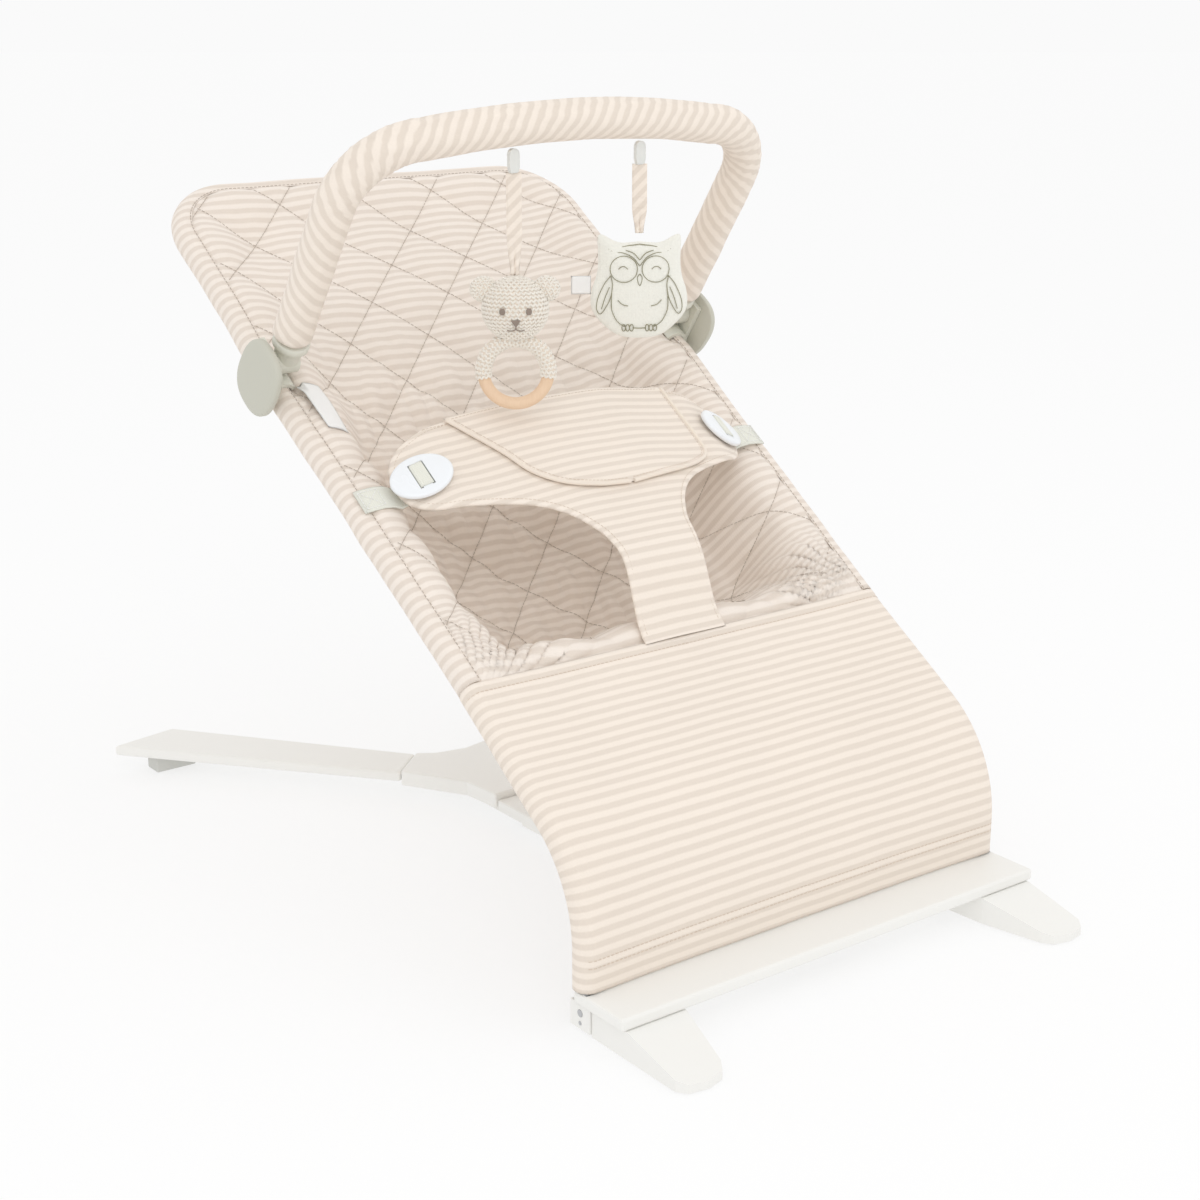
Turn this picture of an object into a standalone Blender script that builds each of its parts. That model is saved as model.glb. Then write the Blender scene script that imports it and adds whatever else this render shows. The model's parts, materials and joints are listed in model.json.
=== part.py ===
"""Baby bouncer seat: low base, reclining sprung tube frame, quilted cover, harness and toy bar.

Metres, +Z up, front of the seat towards -Y. The origin is the middle of the footprint on the floor.
Every piece is modelled in "base" coordinates, whose y is 0 at the front edge of the front plate,
and hangs under the empty of its own moving body, which lies on that body's joint axis.
"""
import math

import bmesh
import bpy
from mathutils import Matrix, Vector

# ---------------------------------------------------------------- driving dimensions (metres)
GAP = 0.0003                     # clearance between pieces that touch
FRAME_Y = -0.3487                # y of the front plate's edge from the middle of the footprint

PLATE_HALF_X = 0.22
PLATE_DEPTH = 0.060
PLATE_TOP = 0.034
PLATE_THICK = 0.010
PLATE_BOTTOM = PLATE_TOP - PLATE_THICK

FOOT_OUTER_X = 0.2155
FOOT_TIP_Y = -0.066
FOOT_REAR_Y = 0.055
GRIP_THICK = 0.0022

SPINE_HALF_X = 0.042
SPINE_BOTTOM = 0.0105
SPINE_FRONT_Y = 0.032
LAP_FRONT_Y, LAP_REAR_Y = 0.380, 0.420
LEG_BOTTOM, LEG_TOP = 0.0185, 0.0290
HUB_BOTTOM, HUB_TOP = 0.0150, 0.0300
SEAM_INNER, SEAM_OUTER = (0.046, 0.555), (0.084, 0.522)
LEG_TIP_INNER, LEG_TIP_OUTER = (0.205, 0.765), (0.273, 0.753)

HINGE_Y, HINGE_Z = 0.055, 0.016  # recline axis
HINGE_PIN_R = 0.003
LUG_EYE_R = 0.0115
LUG_HALF_X = 0.0035
STOP_ORBIT = 0.0082              # distance of the stop pin from the recline axis
STOP_PIN_R = 0.0016
RECLINE_FOLD = math.radians(30)

TUBE_R, TUBE_BORE_R = 0.0075, 0.0060
SLEEVE_R, SLEEVE_BORE_R = 0.0110, 0.0078
TUBE_X = 0.2100                  # half the frame's width at the recline axis
TUBE_WIDTHS = ((-0.12, TUBE_X), (0.00, 0.2085), (0.20, 0.2115), (0.34, 0.2150), (0.46, 0.2110),
               (0.54, 0.2060))   # that half-width at distances along the tube from the hem
BEND_R = 0.110                   # front bend of the side tubes
FLEX_GAP = 0.0022                # between the risers and the side tubes, where the frame springs
SEAT_ANGLE = math.radians(34.25)
HEM_Y, HEM_Z = 0.206, 0.2263     # where the front panel's top hem crosses the tube line
S_SPLICE = 0.460                 # side tube meets head bow
S_HEAD = 0.595                   # top of the head bow
HEAD_CORNER_R = 0.060

PANEL_OFF = 0.0080               # middle of the front panel in front of the tube line
CLOTH = 0.0030                   # front panel thickness
QUILT = 0.0060                   # quilted panels' thickness
POUCH_DEPTH = 0.100
POUCH_LIP = 0.012                # quilted lip behind the front hem, before the pouch falls
POUCH_SHOULDER = 0.055           # width over which the pouch leaves the side tubes
S_POUCH_REAR = 0.360

BAR_S, BAR_OFF, BAR_X = 0.352, 0.026, 0.211
BAR_LEG, BAR_CORNER_R, BAR_CROWN = 0.163, 0.066, 0.012
BAR_R, BAR_ROD_R = 0.0175, 0.0060
SOCKET_HALF_X, SOCKET_HUB_R = 0.0115, 0.0102
CAP_HALF, CAP_DROP = 0.0285, 0.010
JAW_R, EAR_THICK = 0.0152, 0.0050
SOCKET_TOP = 0.026               # socket rim above the bar's swing axis

TOGGLE_X, TOGGLE_S, TOGGLE_OFF = 0.172, 0.198, 0.0425
TOGGLE_LONG, TOGGLE_SHORT, TOGGLE_THICK = 0.055, 0.042, 0.005
WEB_THICK, WEB_WIDTH = 0.0014, 0.025
HARNESS_OFF = 0.0375
HARNESS_S = -0.002               # where the crotch strap is sewn, from the hem

TOY_X = {"bear": -0.065, "owl": 0.066}
TOY_LINK = 0.020
BEAR_STRAP, OWL_STRAP = 0.083, 0.058
TOY_TWIST = math.radians(-34)    # the toys hang turned on their straps
RING_R, RING_TUBE_R, RING_WRAP_R = 0.02725, 0.00525, 0.0070

SIDES = {"left": -1, "right": 1}


# ---------------------------------------------------------------- scene and materials
def clear_scene():
    for obj in list(bpy.data.objects):
        bpy.data.objects.remove(obj, do_unlink=True)


def material(name, colour, roughness=0.5, metallic=0.0):
    mat = bpy.data.materials.new(name)
    mat.use_nodes = True
    shader = mat.node_tree.nodes["Principled BSDF"]
    shader.inputs["Base Color"].default_value = (*colour, 1.0)
    shader.inputs["Roughness"].default_value = roughness
    shader.inputs["Metallic"].default_value = metallic
    mat.diffuse_color = (*colour, 1.0)
    return mat


PALETTE = {
    "white_paint": ((0.90, 0.90, 0.88), 0.45, 0.0),
    "grip_rubber": ((0.55, 0.55, 0.53), 0.85, 0.0),
    "steel": ((0.62, 0.63, 0.64), 0.35, 1.0),
    "stripe_fabric": ((0.87, 0.80, 0.73), 0.90, 0.0),
    "quilt_fabric": ((0.85, 0.77, 0.70), 0.92, 0.0),
    "sage_plastic": ((0.74, 0.75, 0.69), 0.50, 0.0),
    "toggle_plastic": ((0.86, 0.89, 0.91), 0.35, 0.0),
    "webbing": ((0.84, 0.85, 0.79), 0.85, 0.0),
    "clear_plastic": ((0.90, 0.92, 0.90), 0.30, 0.0),
    "crochet": ((0.90, 0.82, 0.75), 0.95, 0.0),
    "beech": ((0.88, 0.70, 0.52), 0.50, 0.0),
    "sage_plush": ((0.86, 0.88, 0.82), 0.92, 0.0),
    "tag_cloth": ((0.92, 0.92, 0.90), 0.80, 0.0),
}


def make_empty(name, location, parent=None):
    """An empty on a joint axis. location is in base coordinates."""
    empty = bpy.data.objects.new(name, None)
    empty.empty_display_size = 0.03
    bpy.context.collection.objects.link(empty)
    empty["base_place"] = list(location)
    empty.parent = parent
    start = Vector(parent["base_place"]) if parent else Vector((0, -FRAME_Y, 0))
    empty.location = Vector(location) - start
    return empty


def add_piece(bm, name, slot, body):
    """Turn a bmesh in base coordinates into the node called name, under its body's empty."""
    bmesh.ops.recalc_face_normals(bm, faces=bm.faces)
    if bm.calc_volume(signed=True) < 0:
        bmesh.ops.reverse_faces(bm, faces=bm.faces)
    bmesh.ops.translate(bm, verts=bm.verts, vec=-Vector(body["base_place"]))
    mesh = bpy.data.meshes.new(name)
    bm.to_mesh(mesh)
    bm.free()
    mesh.shade_smooth()
    mesh.set_sharp_from_angle(angle=math.radians(35))
    mesh.materials.append(MATERIALS[slot])
    obj = bpy.data.objects.new(name, mesh)
    bpy.context.collection.objects.link(obj)
    obj.parent = body
    return obj


def cut(obj, cutter_bm, name, operation="DIFFERENCE"):
    """A Boolean against a hidden cutter, given in base coordinates."""
    cutter = add_piece(cutter_bm, name, "steel", obj.parent)
    cutter.hide_render = True
    cutter.display_type = "WIRE"
    mod = obj.modifiers.new(name, "BOOLEAN")
    mod.operation = operation
    mod.solver = "EXACT"
    mod.object = cutter


def bevel(obj, width, segments=2, angle=40):
    mod = obj.modifiers.new("edges", "BEVEL")
    mod.width = width
    mod.segments = segments
    mod.limit_method = "ANGLE"
    mod.angle_limit = math.radians(angle)


# ---------------------------------------------------------------- shapes
def box_bm(low, high):
    low, high = Vector(low), Vector(high)
    bm = bmesh.new()
    bmesh.ops.create_cube(bm, size=1.0)
    bmesh.ops.scale(bm, vec=high - low, verts=bm.verts)
    bmesh.ops.translate(bm, vec=(low + high) / 2, verts=bm.verts)
    return bm


def prism_bm(outline, start, end):
    """A closed outline of 3-D points, extruded from offset start to offset end."""
    bm = bmesh.new()
    low = [bm.verts.new(Vector(p) + Vector(start)) for p in outline]
    high = [bm.verts.new(Vector(p) + Vector(end)) for p in outline]
    bm.faces.new(low)
    bm.faces.new(high)
    count = len(outline)
    for i in range(count):
        j = (i + 1) % count
        bm.faces.new((low[i], low[j], high[j], high[i]))
    return bm


def cylinder_bm(centre, axis, radius, length, sides=16):
    """A solid cylinder centred on a point."""
    bm = bmesh.new()
    bmesh.ops.create_cone(bm, cap_ends=True, segments=sides, radius1=radius, radius2=radius,
                          depth=length)
    turn = Vector((0, 0, 1)).rotation_difference(Vector(axis)).to_matrix().to_4x4()
    bmesh.ops.transform(bm, matrix=Matrix.Translation(centre) @ turn, verts=bm.verts)
    return bm


def shell_bm(rows):
    """A closed sheet. rows is a grid of (upper point, lower point) pairs."""
    bm = bmesh.new()
    upper = [[bm.verts.new(pair[0]) for pair in row] for row in rows]
    lower = [[bm.verts.new(pair[1]) for pair in row] for row in rows]
    last_row, last_col = len(rows) - 1, len(rows[0]) - 1
    for i in range(last_row):
        for j in range(last_col):
            bm.faces.new((upper[i][j], upper[i][j + 1], upper[i + 1][j + 1], upper[i + 1][j]))
            bm.faces.new((lower[i][j], lower[i + 1][j], lower[i + 1][j + 1], lower[i][j + 1]))
    for i in range(last_row):
        bm.faces.new((upper[i][0], upper[i + 1][0], lower[i + 1][0], lower[i][0]))
        bm.faces.new((upper[i][last_col], lower[i][last_col], lower[i + 1][last_col],
                      upper[i + 1][last_col]))
    for j in range(last_col):
        bm.faces.new((upper[0][j], lower[0][j], lower[0][j + 1], upper[0][j + 1]))
        bm.faces.new((upper[last_row][j], upper[last_row][j + 1], lower[last_row][j + 1],
                      lower[last_row][j]))
    return bm


def sweep_bm(path, radius, bore=0.0, sides=10, closed=False):
    """A round tube along a path, hollow where bore is above 0."""
    bm = bmesh.new()
    count = len(path)
    ahead = [path[(i + 1) % count] - path[i - 1] for i in range(count)]
    if not closed:
        ahead[0] = path[1] - path[0]
        ahead[-1] = path[-1] - path[-2]
    side = ahead[0].normalized().orthogonal().normalized()
    rings = []
    for point, forward in zip(path, ahead):
        forward = forward.normalized()
        side = (side - forward * side.dot(forward)).normalized()
        across = forward.cross(side)
        ring = []
        for size in ([radius, bore] if bore else [radius]):
            ring.append([bm.verts.new(point + size * (math.cos(a) * side + math.sin(a) * across))
                         for a in (2 * math.pi * k / sides for k in range(sides))])
        rings.append(ring)
    pairs = list(zip(rings, rings[1:]))
    if closed:
        pairs.append((rings[-1], rings[0]))
    for first, second in pairs:
        for skin in range(len(first)):
            for k in range(sides):
                m = (k + 1) % sides
                bm.faces.new((first[skin][k], first[skin][m], second[skin][m], second[skin][k]))
    if not closed:
        for ring in (rings[0], rings[-1]):
            if bore:
                for k in range(sides):
                    m = (k + 1) % sides
                    bm.faces.new((ring[0][k], ring[0][m], ring[1][m], ring[1][k]))
            else:
                bm.faces.new(ring[0])
    return bm


def arc(centre, radius, start, end, steps):
    """Points of an arc as (a, b) pairs, angles in degrees."""
    return [(centre[0] + radius * math.cos(math.radians(start + (end - start) * i / steps)),
             centre[1] + radius * math.sin(math.radians(start + (end - start) * i / steps)))
            for i in range(steps + 1)]


def smooth(t):
    t = min(1.0, max(0.0, t))
    return t * t * (3 - 2 * t)


# ---------------------------------------------------------------- the frame's own line
BEND_TURN = math.pi / 2 - SEAT_ANGLE
ALONG = Vector((0, math.cos(SEAT_ANGLE), math.sin(SEAT_ANGLE)))
OUT = Vector((0, -math.sin(SEAT_ANGLE), math.cos(SEAT_ANGLE)))
CORNER_Z = HEM_Z - (HEM_Y - HINGE_Y) * math.tan(SEAT_ANGLE)
BEND_REACH = BEND_R * math.tan(BEND_TURN / 2)
S_BEND_END = -(HEM_Y - HINGE_Y) / math.cos(SEAT_ANGLE) + BEND_REACH
S_BEND_START = S_BEND_END - BEND_R * BEND_TURN
FLEX_Z = CORNER_Z - BEND_REACH   # axis of the frame's bounce, at the foot of the bend


def tube_x(s):
    """Half the distance between the side tubes' centres at distance s along them."""
    if s <= TUBE_WIDTHS[0][0]:
        return TUBE_WIDTHS[0][1]
    for (s0, x0), (s1, x1) in zip(TUBE_WIDTHS, TUBE_WIDTHS[1:]):
        if s <= s1:
            return x0 + (x1 - x0) * smooth((s - s0) / (s1 - s0))
    return TUBE_WIDTHS[-1][1]


def seat_point(x, s, off=0.0):
    """Base coordinates of a point at distance s along the tube line and off in front of it."""
    if s >= S_BEND_END:
        return Vector((x, HEM_Y, HEM_Z)) + s * ALONG + off * OUT
    if s >= S_BEND_START:
        turned = (S_BEND_END - s) / BEND_R
        angle = SEAT_ANGLE + turned
        centre = Vector((0, HEM_Y, HEM_Z)) + S_BEND_END * ALONG - BEND_R * OUT
        out = Vector((0, -math.sin(angle), math.cos(angle)))
        return Vector((x, 0, 0)) + centre + (BEND_R + off) * out
    return Vector((x, HINGE_Y - off, FLEX_Z - (S_BEND_START - s)))


def stations(start, end, step):
    """Distances from start to end, closer together round the front bend."""
    count = max(1, round((end - start) / step))
    return [start + (end - start) * i / count for i in range(count + 1)]


def side_path(sign, start, end):
    """The centreline of a side tube."""
    bend = [s for s in stations(S_BEND_START, S_BEND_END, 0.0135) if start < s < end]
    ends = [start] + bend + [s for s in (0.0, 0.1, 0.2, 0.27, 0.34, 0.40) if s < end] + [end]
    return [seat_point(sign * tube_x(s), s) for s in ends]


# ---------------------------------------------------------------- base
def make_base(body):
    plate = add_piece(box_bm((-PLATE_HALF_X, 0, PLATE_BOTTOM), (PLATE_HALF_X, PLATE_DEPTH, PLATE_TOP)),
                      "front_plate", "white_paint", body)
    bevel(plate, 0.0022, 2)
    for side, sign in SIDES.items():
        low = (sign * TUBE_X - 0.0082, HINGE_Y - 0.0095, PLATE_BOTTOM - 0.01)
        high = (sign * TUBE_X + 0.0082, PLATE_DEPTH + 0.01, PLATE_TOP + 0.01)
        cut(plate, box_bm(low, high), f"cut_plate_{side}")
    for side, sign in SIDES.items():
        make_front_foot(side, sign, body)
        make_rear_leg(side, sign, body)
        make_hinge_block(side, sign, body)
    make_spine(body)
    make_hub(body)


def make_front_foot(side, sign, body):
    """A wedge tongue under each end of the plate, with a rubber grip let into its sole."""
    sole = 0.0008
    bm = bmesh.new()
    plan = [(FOOT_OUTER_X, FOOT_REAR_Y), (FOOT_OUTER_X, FOOT_TIP_Y + 0.010),
            (FOOT_OUTER_X - 0.006, FOOT_TIP_Y + 0.002), (FOOT_OUTER_X - 0.022, FOOT_TIP_Y - 0.001),
            (FOOT_OUTER_X - 0.038, FOOT_TIP_Y + 0.003), (FOOT_OUTER_X - 0.044, FOOT_TIP_Y + 0.012),
            (FOOT_OUTER_X - 0.056, 0.0), (FOOT_OUTER_X - 0.060, FOOT_REAR_Y)]
    top_front, top_tip = PLATE_BOTTOM - GAP, 0.0075

    def top(y):
        return top_front if y >= 0 else top_tip + (top_front - top_tip) * (1 - y / FOOT_TIP_Y)

    plan.insert(1, (FOOT_OUTER_X, 0.0))
    low = [bm.verts.new((sign * x, y, sole)) for x, y in plan]
    high = [bm.verts.new((sign * x, y, top(y))) for x, y in plan]
    bm.faces.new(low)
    count = len(plan)
    for i in range(count):
        j = (i + 1) % count
        bm.faces.new((low[i], low[j], high[j], high[i]))
    inner_bend = count - 2
    bm.faces.new([high[i] for i in (0, 1, inner_bend, count - 1)])
    bm.faces.new([high[i] for i in range(1, inner_bend + 1)])
    foot = add_piece(bm, f"front_foot_{side}", "white_paint", body)
    x0, x1 = sorted((sign * (TUBE_X - 0.0085), sign * (TUBE_X + 0.02)))
    cut(foot, box_bm((x0, HINGE_Y - 0.0125, -0.01), (x1, FOOT_REAR_Y + 0.02, 0.05)),
        f"cut_foot_{side}")
    g0, g1 = sorted((sign * (FOOT_OUTER_X - 0.033), sign * (FOOT_OUTER_X - 0.008)))
    pad = ((g0, FOOT_TIP_Y + 0.014, 0.0), (g1, 0.030, GRIP_THICK))
    pocket = box_bm(Vector(pad[0]) - Vector((GAP, GAP, 0.01)), Vector(pad[1]) + Vector((GAP, GAP, GAP)))
    cut(foot, pocket, f"cut_grip_{side}")
    grip = add_piece(box_bm(*pad), f"front_grip_{side}", "grip_rubber", body)
    bevel(grip, 0.0006, 1)


def make_spine(body):
    """The centre beam, bolted under the plate and lapped over the hub's tongue."""
    top = PLATE_BOTTOM - GAP
    mid = (SPINE_BOTTOM + top) / 2
    spine = add_piece(box_bm((-SPINE_HALF_X, SPINE_FRONT_Y, SPINE_BOTTOM), (SPINE_HALF_X, LAP_REAR_Y, top)),
                      "base_spine", "white_paint", body)
    bevel(spine, 0.0018, 2)
    cut(spine, box_bm((-0.1, LAP_FRONT_Y, 0), (0.1, LAP_REAR_Y + 0.01, mid)), "cut_lap")
    for side, sign in SIDES.items():
        place = (sign * 0.022, (LAP_FRONT_Y + LAP_REAR_Y) / 2, 0.0155)
        cut(spine, cylinder_bm(place, (0, 0, 1), 0.0029, 0.0125, 12), f"cut_spine_screw_{side}")


def make_hub(body):
    """The Y-shaped rear hub: a tongue under the spine and two stubs for the legs."""
    right = [(0.044, LAP_REAR_Y + GAP), (0.048, 0.462), SEAM_OUTER, SEAM_INNER, (0.030, 0.544)]
    plan = right + [(0, 0.538)] + [(-x, y) for x, y in reversed(right)]
    hub = add_piece(prism_bm([(x, y, 0) for x, y in plan], (0, 0, HUB_BOTTOM), (0, 0, HUB_TOP)),
                    "rear_hub", "white_paint", body)
    bevel(hub, 0.0018, 2)
    mid = (SPINE_BOTTOM + PLATE_BOTTOM - GAP) / 2
    tongue = box_bm((-0.038, LAP_FRONT_Y + GAP, SPINE_BOTTOM), (0.038, LAP_REAR_Y + 0.03, mid - GAP))
    cut(hub, tongue, "join_hub_tongue", "UNION")
    for side, sign in SIDES.items():
        place = (sign * 0.022, (LAP_FRONT_Y + LAP_REAR_Y) / 2, 0.0135)
        cut(hub, cylinder_bm(place, (0, 0, 1), 0.0029, 0.0105, 12), f"cut_hub_screw_{side}")
        screw = add_piece(cylinder_bm((place[0], place[1], 0.0140), (0, 0, 1), 0.0026, 0.0110, 12),
                          f"hub_screw_{side}", "steel", body)
        head = cylinder_bm((place[0], place[1], 0.0088), (0, 0, 1), 0.0052, 0.0028, 12)
        cut(screw, head, f"join_screw_head_{side}", "UNION")


def make_rear_leg(side, sign, body):
    """A flat arm from the hub's seam out to a tip cut square across the seat."""
    seam = Vector(SEAM_OUTER) - Vector(SEAM_INNER)
    seam_gap = Vector((-seam.y, seam.x)).normalized() * 1.5 * GAP
    plan = [Vector(SEAM_INNER) + seam_gap, Vector(LEG_TIP_INNER), Vector(LEG_TIP_OUTER),
            Vector(SEAM_OUTER) + seam_gap]
    outline = [(sign * p.x, p.y, 0) for p in plan]
    leg = add_piece(prism_bm(outline, (0, 0, LEG_BOTTOM), (0, 0, LEG_TOP)),
                    f"rear_leg_{side}", "white_paint", body)
    bevel(leg, 0.0030, 3)
    x0, x1 = sorted((sign * 0.198, sign * 0.240))
    grip = add_piece(box_bm((x0, 0.728, 0.0), (x1, 0.750, LEG_BOTTOM - GAP)),
                     f"leg_grip_{side}", "grip_rubber", body)
    bevel(grip, 0.0015, 2)


def make_hinge_block(side, sign, body):
    """Bracket, axle and stop pin of the recline hinge, under each end of the plate."""
    inner = LUG_HALF_X + GAP
    y0, y1 = HINGE_Y - 0.0120, HINGE_Y + 0.0120
    z0, z1 = 0.0030, PLATE_BOTTOM - GAP
    bm = box_bm((sign * TUBE_X - 0.0072, y0, z0), (sign * TUBE_X + 0.0072, y1, z1))
    bracket = add_piece(bm, f"hinge_bracket_{side}", "steel", body)
    cut(bracket, box_bm((sign * TUBE_X - inner, y0 - 0.01, z0 + 0.0012),
                        (sign * TUBE_X + inner, y1 + 0.01, z1 + 0.01)), f"cut_bracket_{side}")
    pin_length = 0.0150
    for name, orbit, radius in (("hinge_pin", 0.0, HINGE_PIN_R), ("stop_pin", STOP_ORBIT, STOP_PIN_R)):
        centre = (sign * TUBE_X, HINGE_Y, HINGE_Z - orbit)
        cut(bracket, cylinder_bm(centre, (1, 0, 0), radius + GAP / 2, 0.03, 16),
            f"cut_{name}_{side}")
        add_piece(cylinder_bm(centre, (1, 0, 0), radius, pin_length, 16), f"{name}_{side}", "steel",
                  body)


# ---------------------------------------------------------------- reclining carrier
def make_carrier(body):
    for side, sign in SIDES.items():
        make_lug(side, sign, body)
        riser = sweep_bm([Vector((sign * TUBE_X, HINGE_Y, z)) for z in (0.0365, FLEX_Z - FLEX_GAP / 2)],
                         TUBE_R, TUBE_BORE_R, 12)
        add_piece(riser, f"frame_riser_{side}", "steel", body)
    edge = TUBE_X - TUBE_R - 0.0014
    rows = [[(Vector((x, HINGE_Y - PANEL_OFF - CLOTH / 2, z)), Vector((x, HINGE_Y - PANEL_OFF + CLOTH / 2, z)))
             for x in (-edge, 0, edge)] for z in (PLATE_TOP + 0.0012, FLEX_Z - 0.0010)]
    add_piece(shell_bm(rows), "front_hem_band", "stripe_fabric", body)


def make_lug(side, sign, body):
    """Flat steel end fitting: an eye on the axle, a stop slot round it and a spigot in the riser."""
    x = sign * TUBE_X
    eye = cylinder_bm((x, HINGE_Y, HINGE_Z), (1, 0, 0), LUG_EYE_R, 2 * LUG_HALF_X, 28)
    lug = add_piece(eye, f"tube_lug_{side}", "steel", body)
    cut(lug, box_bm((x - LUG_HALF_X, HINGE_Y - 0.0058, HINGE_Z + 0.006),
                    (x + LUG_HALF_X, HINGE_Y + 0.0058, 0.0360)), f"join_neck_{side}", "UNION")
    cut(lug, cylinder_bm((x, HINGE_Y, 0.0430), (0, 0, 1), TUBE_BORE_R - GAP, 0.0150, 12),
        f"join_spigot_{side}", "UNION")
    cut(lug, cylinder_bm((x, HINGE_Y, HINGE_Z), (1, 0, 0), HINGE_PIN_R + GAP, 0.03, 16),
        f"cut_lug_axle_{side}")
    half_w = STOP_PIN_R + GAP
    low, high = -90, -90 + math.degrees(RECLINE_FOLD)
    outer = arc((HINGE_Y, HINGE_Z), STOP_ORBIT + half_w, low, high, 10)
    inner = arc((HINGE_Y, HINGE_Z), STOP_ORBIT - half_w, high, low, 10)
    slot = [(x, y, z) for y, z in outer + inner]
    cut(lug, prism_bm(slot, (-0.01, 0, 0), (0.01, 0, 0)), f"cut_stop_slot_{side}")
    for n, angle in enumerate((low, high)):
        y, z = arc((HINGE_Y, HINGE_Z), STOP_ORBIT, angle, angle, 1)[0]
        cut(lug, cylinder_bm((x, y, z), (1, 0, 0), half_w + GAP / 3, 0.03, 16), f"cut_slot_end_{side}_{n}")


# ---------------------------------------------------------------- seat frame and cover
def make_seat_frame(body):
    for side, sign in SIDES.items():
        path = side_path(sign, S_BEND_START + FLEX_GAP / 2, S_SPLICE)
        add_piece(sweep_bm(path, TUBE_R, TUBE_BORE_R, 10), f"frame_side_{side}", "steel", body)
        skin = side_path(sign, S_BEND_START + FLEX_GAP, S_SPLICE)
        add_piece(sweep_bm(skin, SLEEVE_R, SLEEVE_BORE_R, 10), f"side_sleeve_{side}", "stripe_fabric",
                  body)
    bow = head_path()
    add_piece(sweep_bm(bow, TUBE_R, TUBE_BORE_R, 10), "frame_head_bow", "steel", body)
    add_piece(sweep_bm(bow, SLEEVE_R, SLEEVE_BORE_R, 10), "head_sleeve", "quilt_fabric", body)


def head_path():
    """The U of the head bow, from the right splice to the left one."""
    x_side = tube_x(S_SPLICE)
    corner_s = S_HEAD - HEAD_CORNER_R
    right = [(x_side, S_SPLICE + 2 * GAP)]
    right += arc((x_side - HEAD_CORNER_R, corner_s), HEAD_CORNER_R, 0, 90, 7)
    plan = right + [(-x, s) for x, s in reversed(right)]
    return [seat_point(x, s) for x, s in plan]


def cover_depth(x, s, half):
    """How far the quilted cover hangs behind the tube line."""
    across = max(0.0, 1 - abs(x / half) ** 2.6) ** 0.75
    settle = smooth((half - abs(x)) / POUCH_SHOULDER)
    front = smooth((s - POUCH_LIP) / 0.078)
    rear = 1 - smooth((s - 0.10) / 0.38)
    return POUCH_DEPTH * across * settle * front * rear + 0.006 * across


def cover_half_width(s):
    """Half the width between the sleeves, rounding in at the head."""
    inner = HEAD_CORNER_R - SLEEVE_R - 0.0006
    x_side = tube_x(S_SPLICE)
    corner_s = S_HEAD - HEAD_CORNER_R
    if s <= corner_s:
        return tube_x(min(s, S_SPLICE)) - SLEEVE_R - 0.0006
    return x_side - HEAD_CORNER_R + math.sqrt(max(0.0, inner ** 2 - (s - corner_s) ** 2))


def quilted_sheet(name, rows_s, columns, body):
    rows = []
    for s in rows_s:
        half = cover_half_width(s)
        row = []
        for k in range(columns + 1):
            x = half * math.sin(math.pi / 2 * (2 * k / columns - 1))
            deep = cover_depth(x, s, half)
            row.append((seat_point(x, s, QUILT / 2 - deep), seat_point(x, s, -QUILT / 2 - deep)))
        rows.append(row)
    return add_piece(shell_bm(rows), name, "quilt_fabric", body)


def make_cover(body):
    front_rows = []
    bend = stations(S_BEND_START + 0.0010, S_BEND_END, 0.0135)
    for s in bend + [0.0]:
        edge = tube_x(s) - 0.0090
        row = [(seat_point(x, s, PANEL_OFF + CLOTH / 2), seat_point(x, s, PANEL_OFF - CLOTH / 2))
               for x in (-edge, 0, edge)]
        front_rows.append(row)
    add_piece(shell_bm(front_rows), "front_panel", "stripe_fabric", body)
    quilted_sheet("seat_pouch", stations(-0.002, S_POUCH_REAR, 0.03), 12, body)
    head_rows = stations(S_POUCH_REAR + 2 * GAP, S_HEAD - HEAD_CORNER_R, 0.06)
    reach = HEAD_CORNER_R - SLEEVE_R - 0.0006
    head_rows += [S_HEAD - HEAD_CORNER_R + reach * math.sin(math.radians(a)) for a in (30, 58, 89)]
    quilted_sheet("back_panel", head_rows, 12, body)


# ---------------------------------------------------------------- harness, webbing and toggles
HARNESS_WIDTHS = ((HARNESS_S, 0.043), (0.025, 0.042), (0.06, 0.041), (0.09, 0.046), (0.115, 0.060),
                  (0.135, 0.084), (0.148, 0.120), (0.155, 0.160), (0.163, 0.180), (0.178, 0.190),
                  (0.200, 0.193), (0.222, 0.188), (0.236, 0.172), (0.244, 0.135))
FLAP_WIDTHS = ((0.137, 0.012), (0.146, 0.045), (0.160, 0.066), (0.180, 0.086), (0.205, 0.101),
               (0.228, 0.112), (0.243, 0.118))


def harness_off(x, s):
    """Height of the harness above the tube line: flat at the hem, humped over the belly."""
    rise = smooth((s - HARNESS_S) / 0.075)
    belly = 0.012 * (1 - smooth((abs(x) - 0.03) / 0.11)) * smooth(s / 0.08)
    return 0.0115 + (HARNESS_OFF - 0.0115) * rise + belly


def draped_sheet(name, widths, lift, thick, columns, body):
    rows = []
    for s, half in widths:
        row = []
        for k in range(columns + 1):
            x = half * (2 * k / columns - 1)
            middle = harness_off(x, s) + lift
            row.append((seat_point(x, s, middle + thick / 2), seat_point(x, s, middle - thick / 2)))
        rows.append(row)
    return add_piece(shell_bm(rows), name, "stripe_fabric", body)


def make_harness(body):
    harness = draped_sheet("harness", HARNESS_WIDTHS, 0.0, 0.0030, 10, body)
    for side, sign in SIDES.items():
        x0, x1 = sorted((sign * (TOGGLE_X - 0.0105), sign * (TOGGLE_X + 0.0105)))
        cut(harness, seat_box(x0, x1, TOGGLE_S, WEB_WIDTH + 0.002, 0.025, 0.060),
            f"cut_buttonhole_{side}")
    draped_sheet("harness_flap", FLAP_WIDTHS, 0.0046, 0.0022, 8, body)


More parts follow.
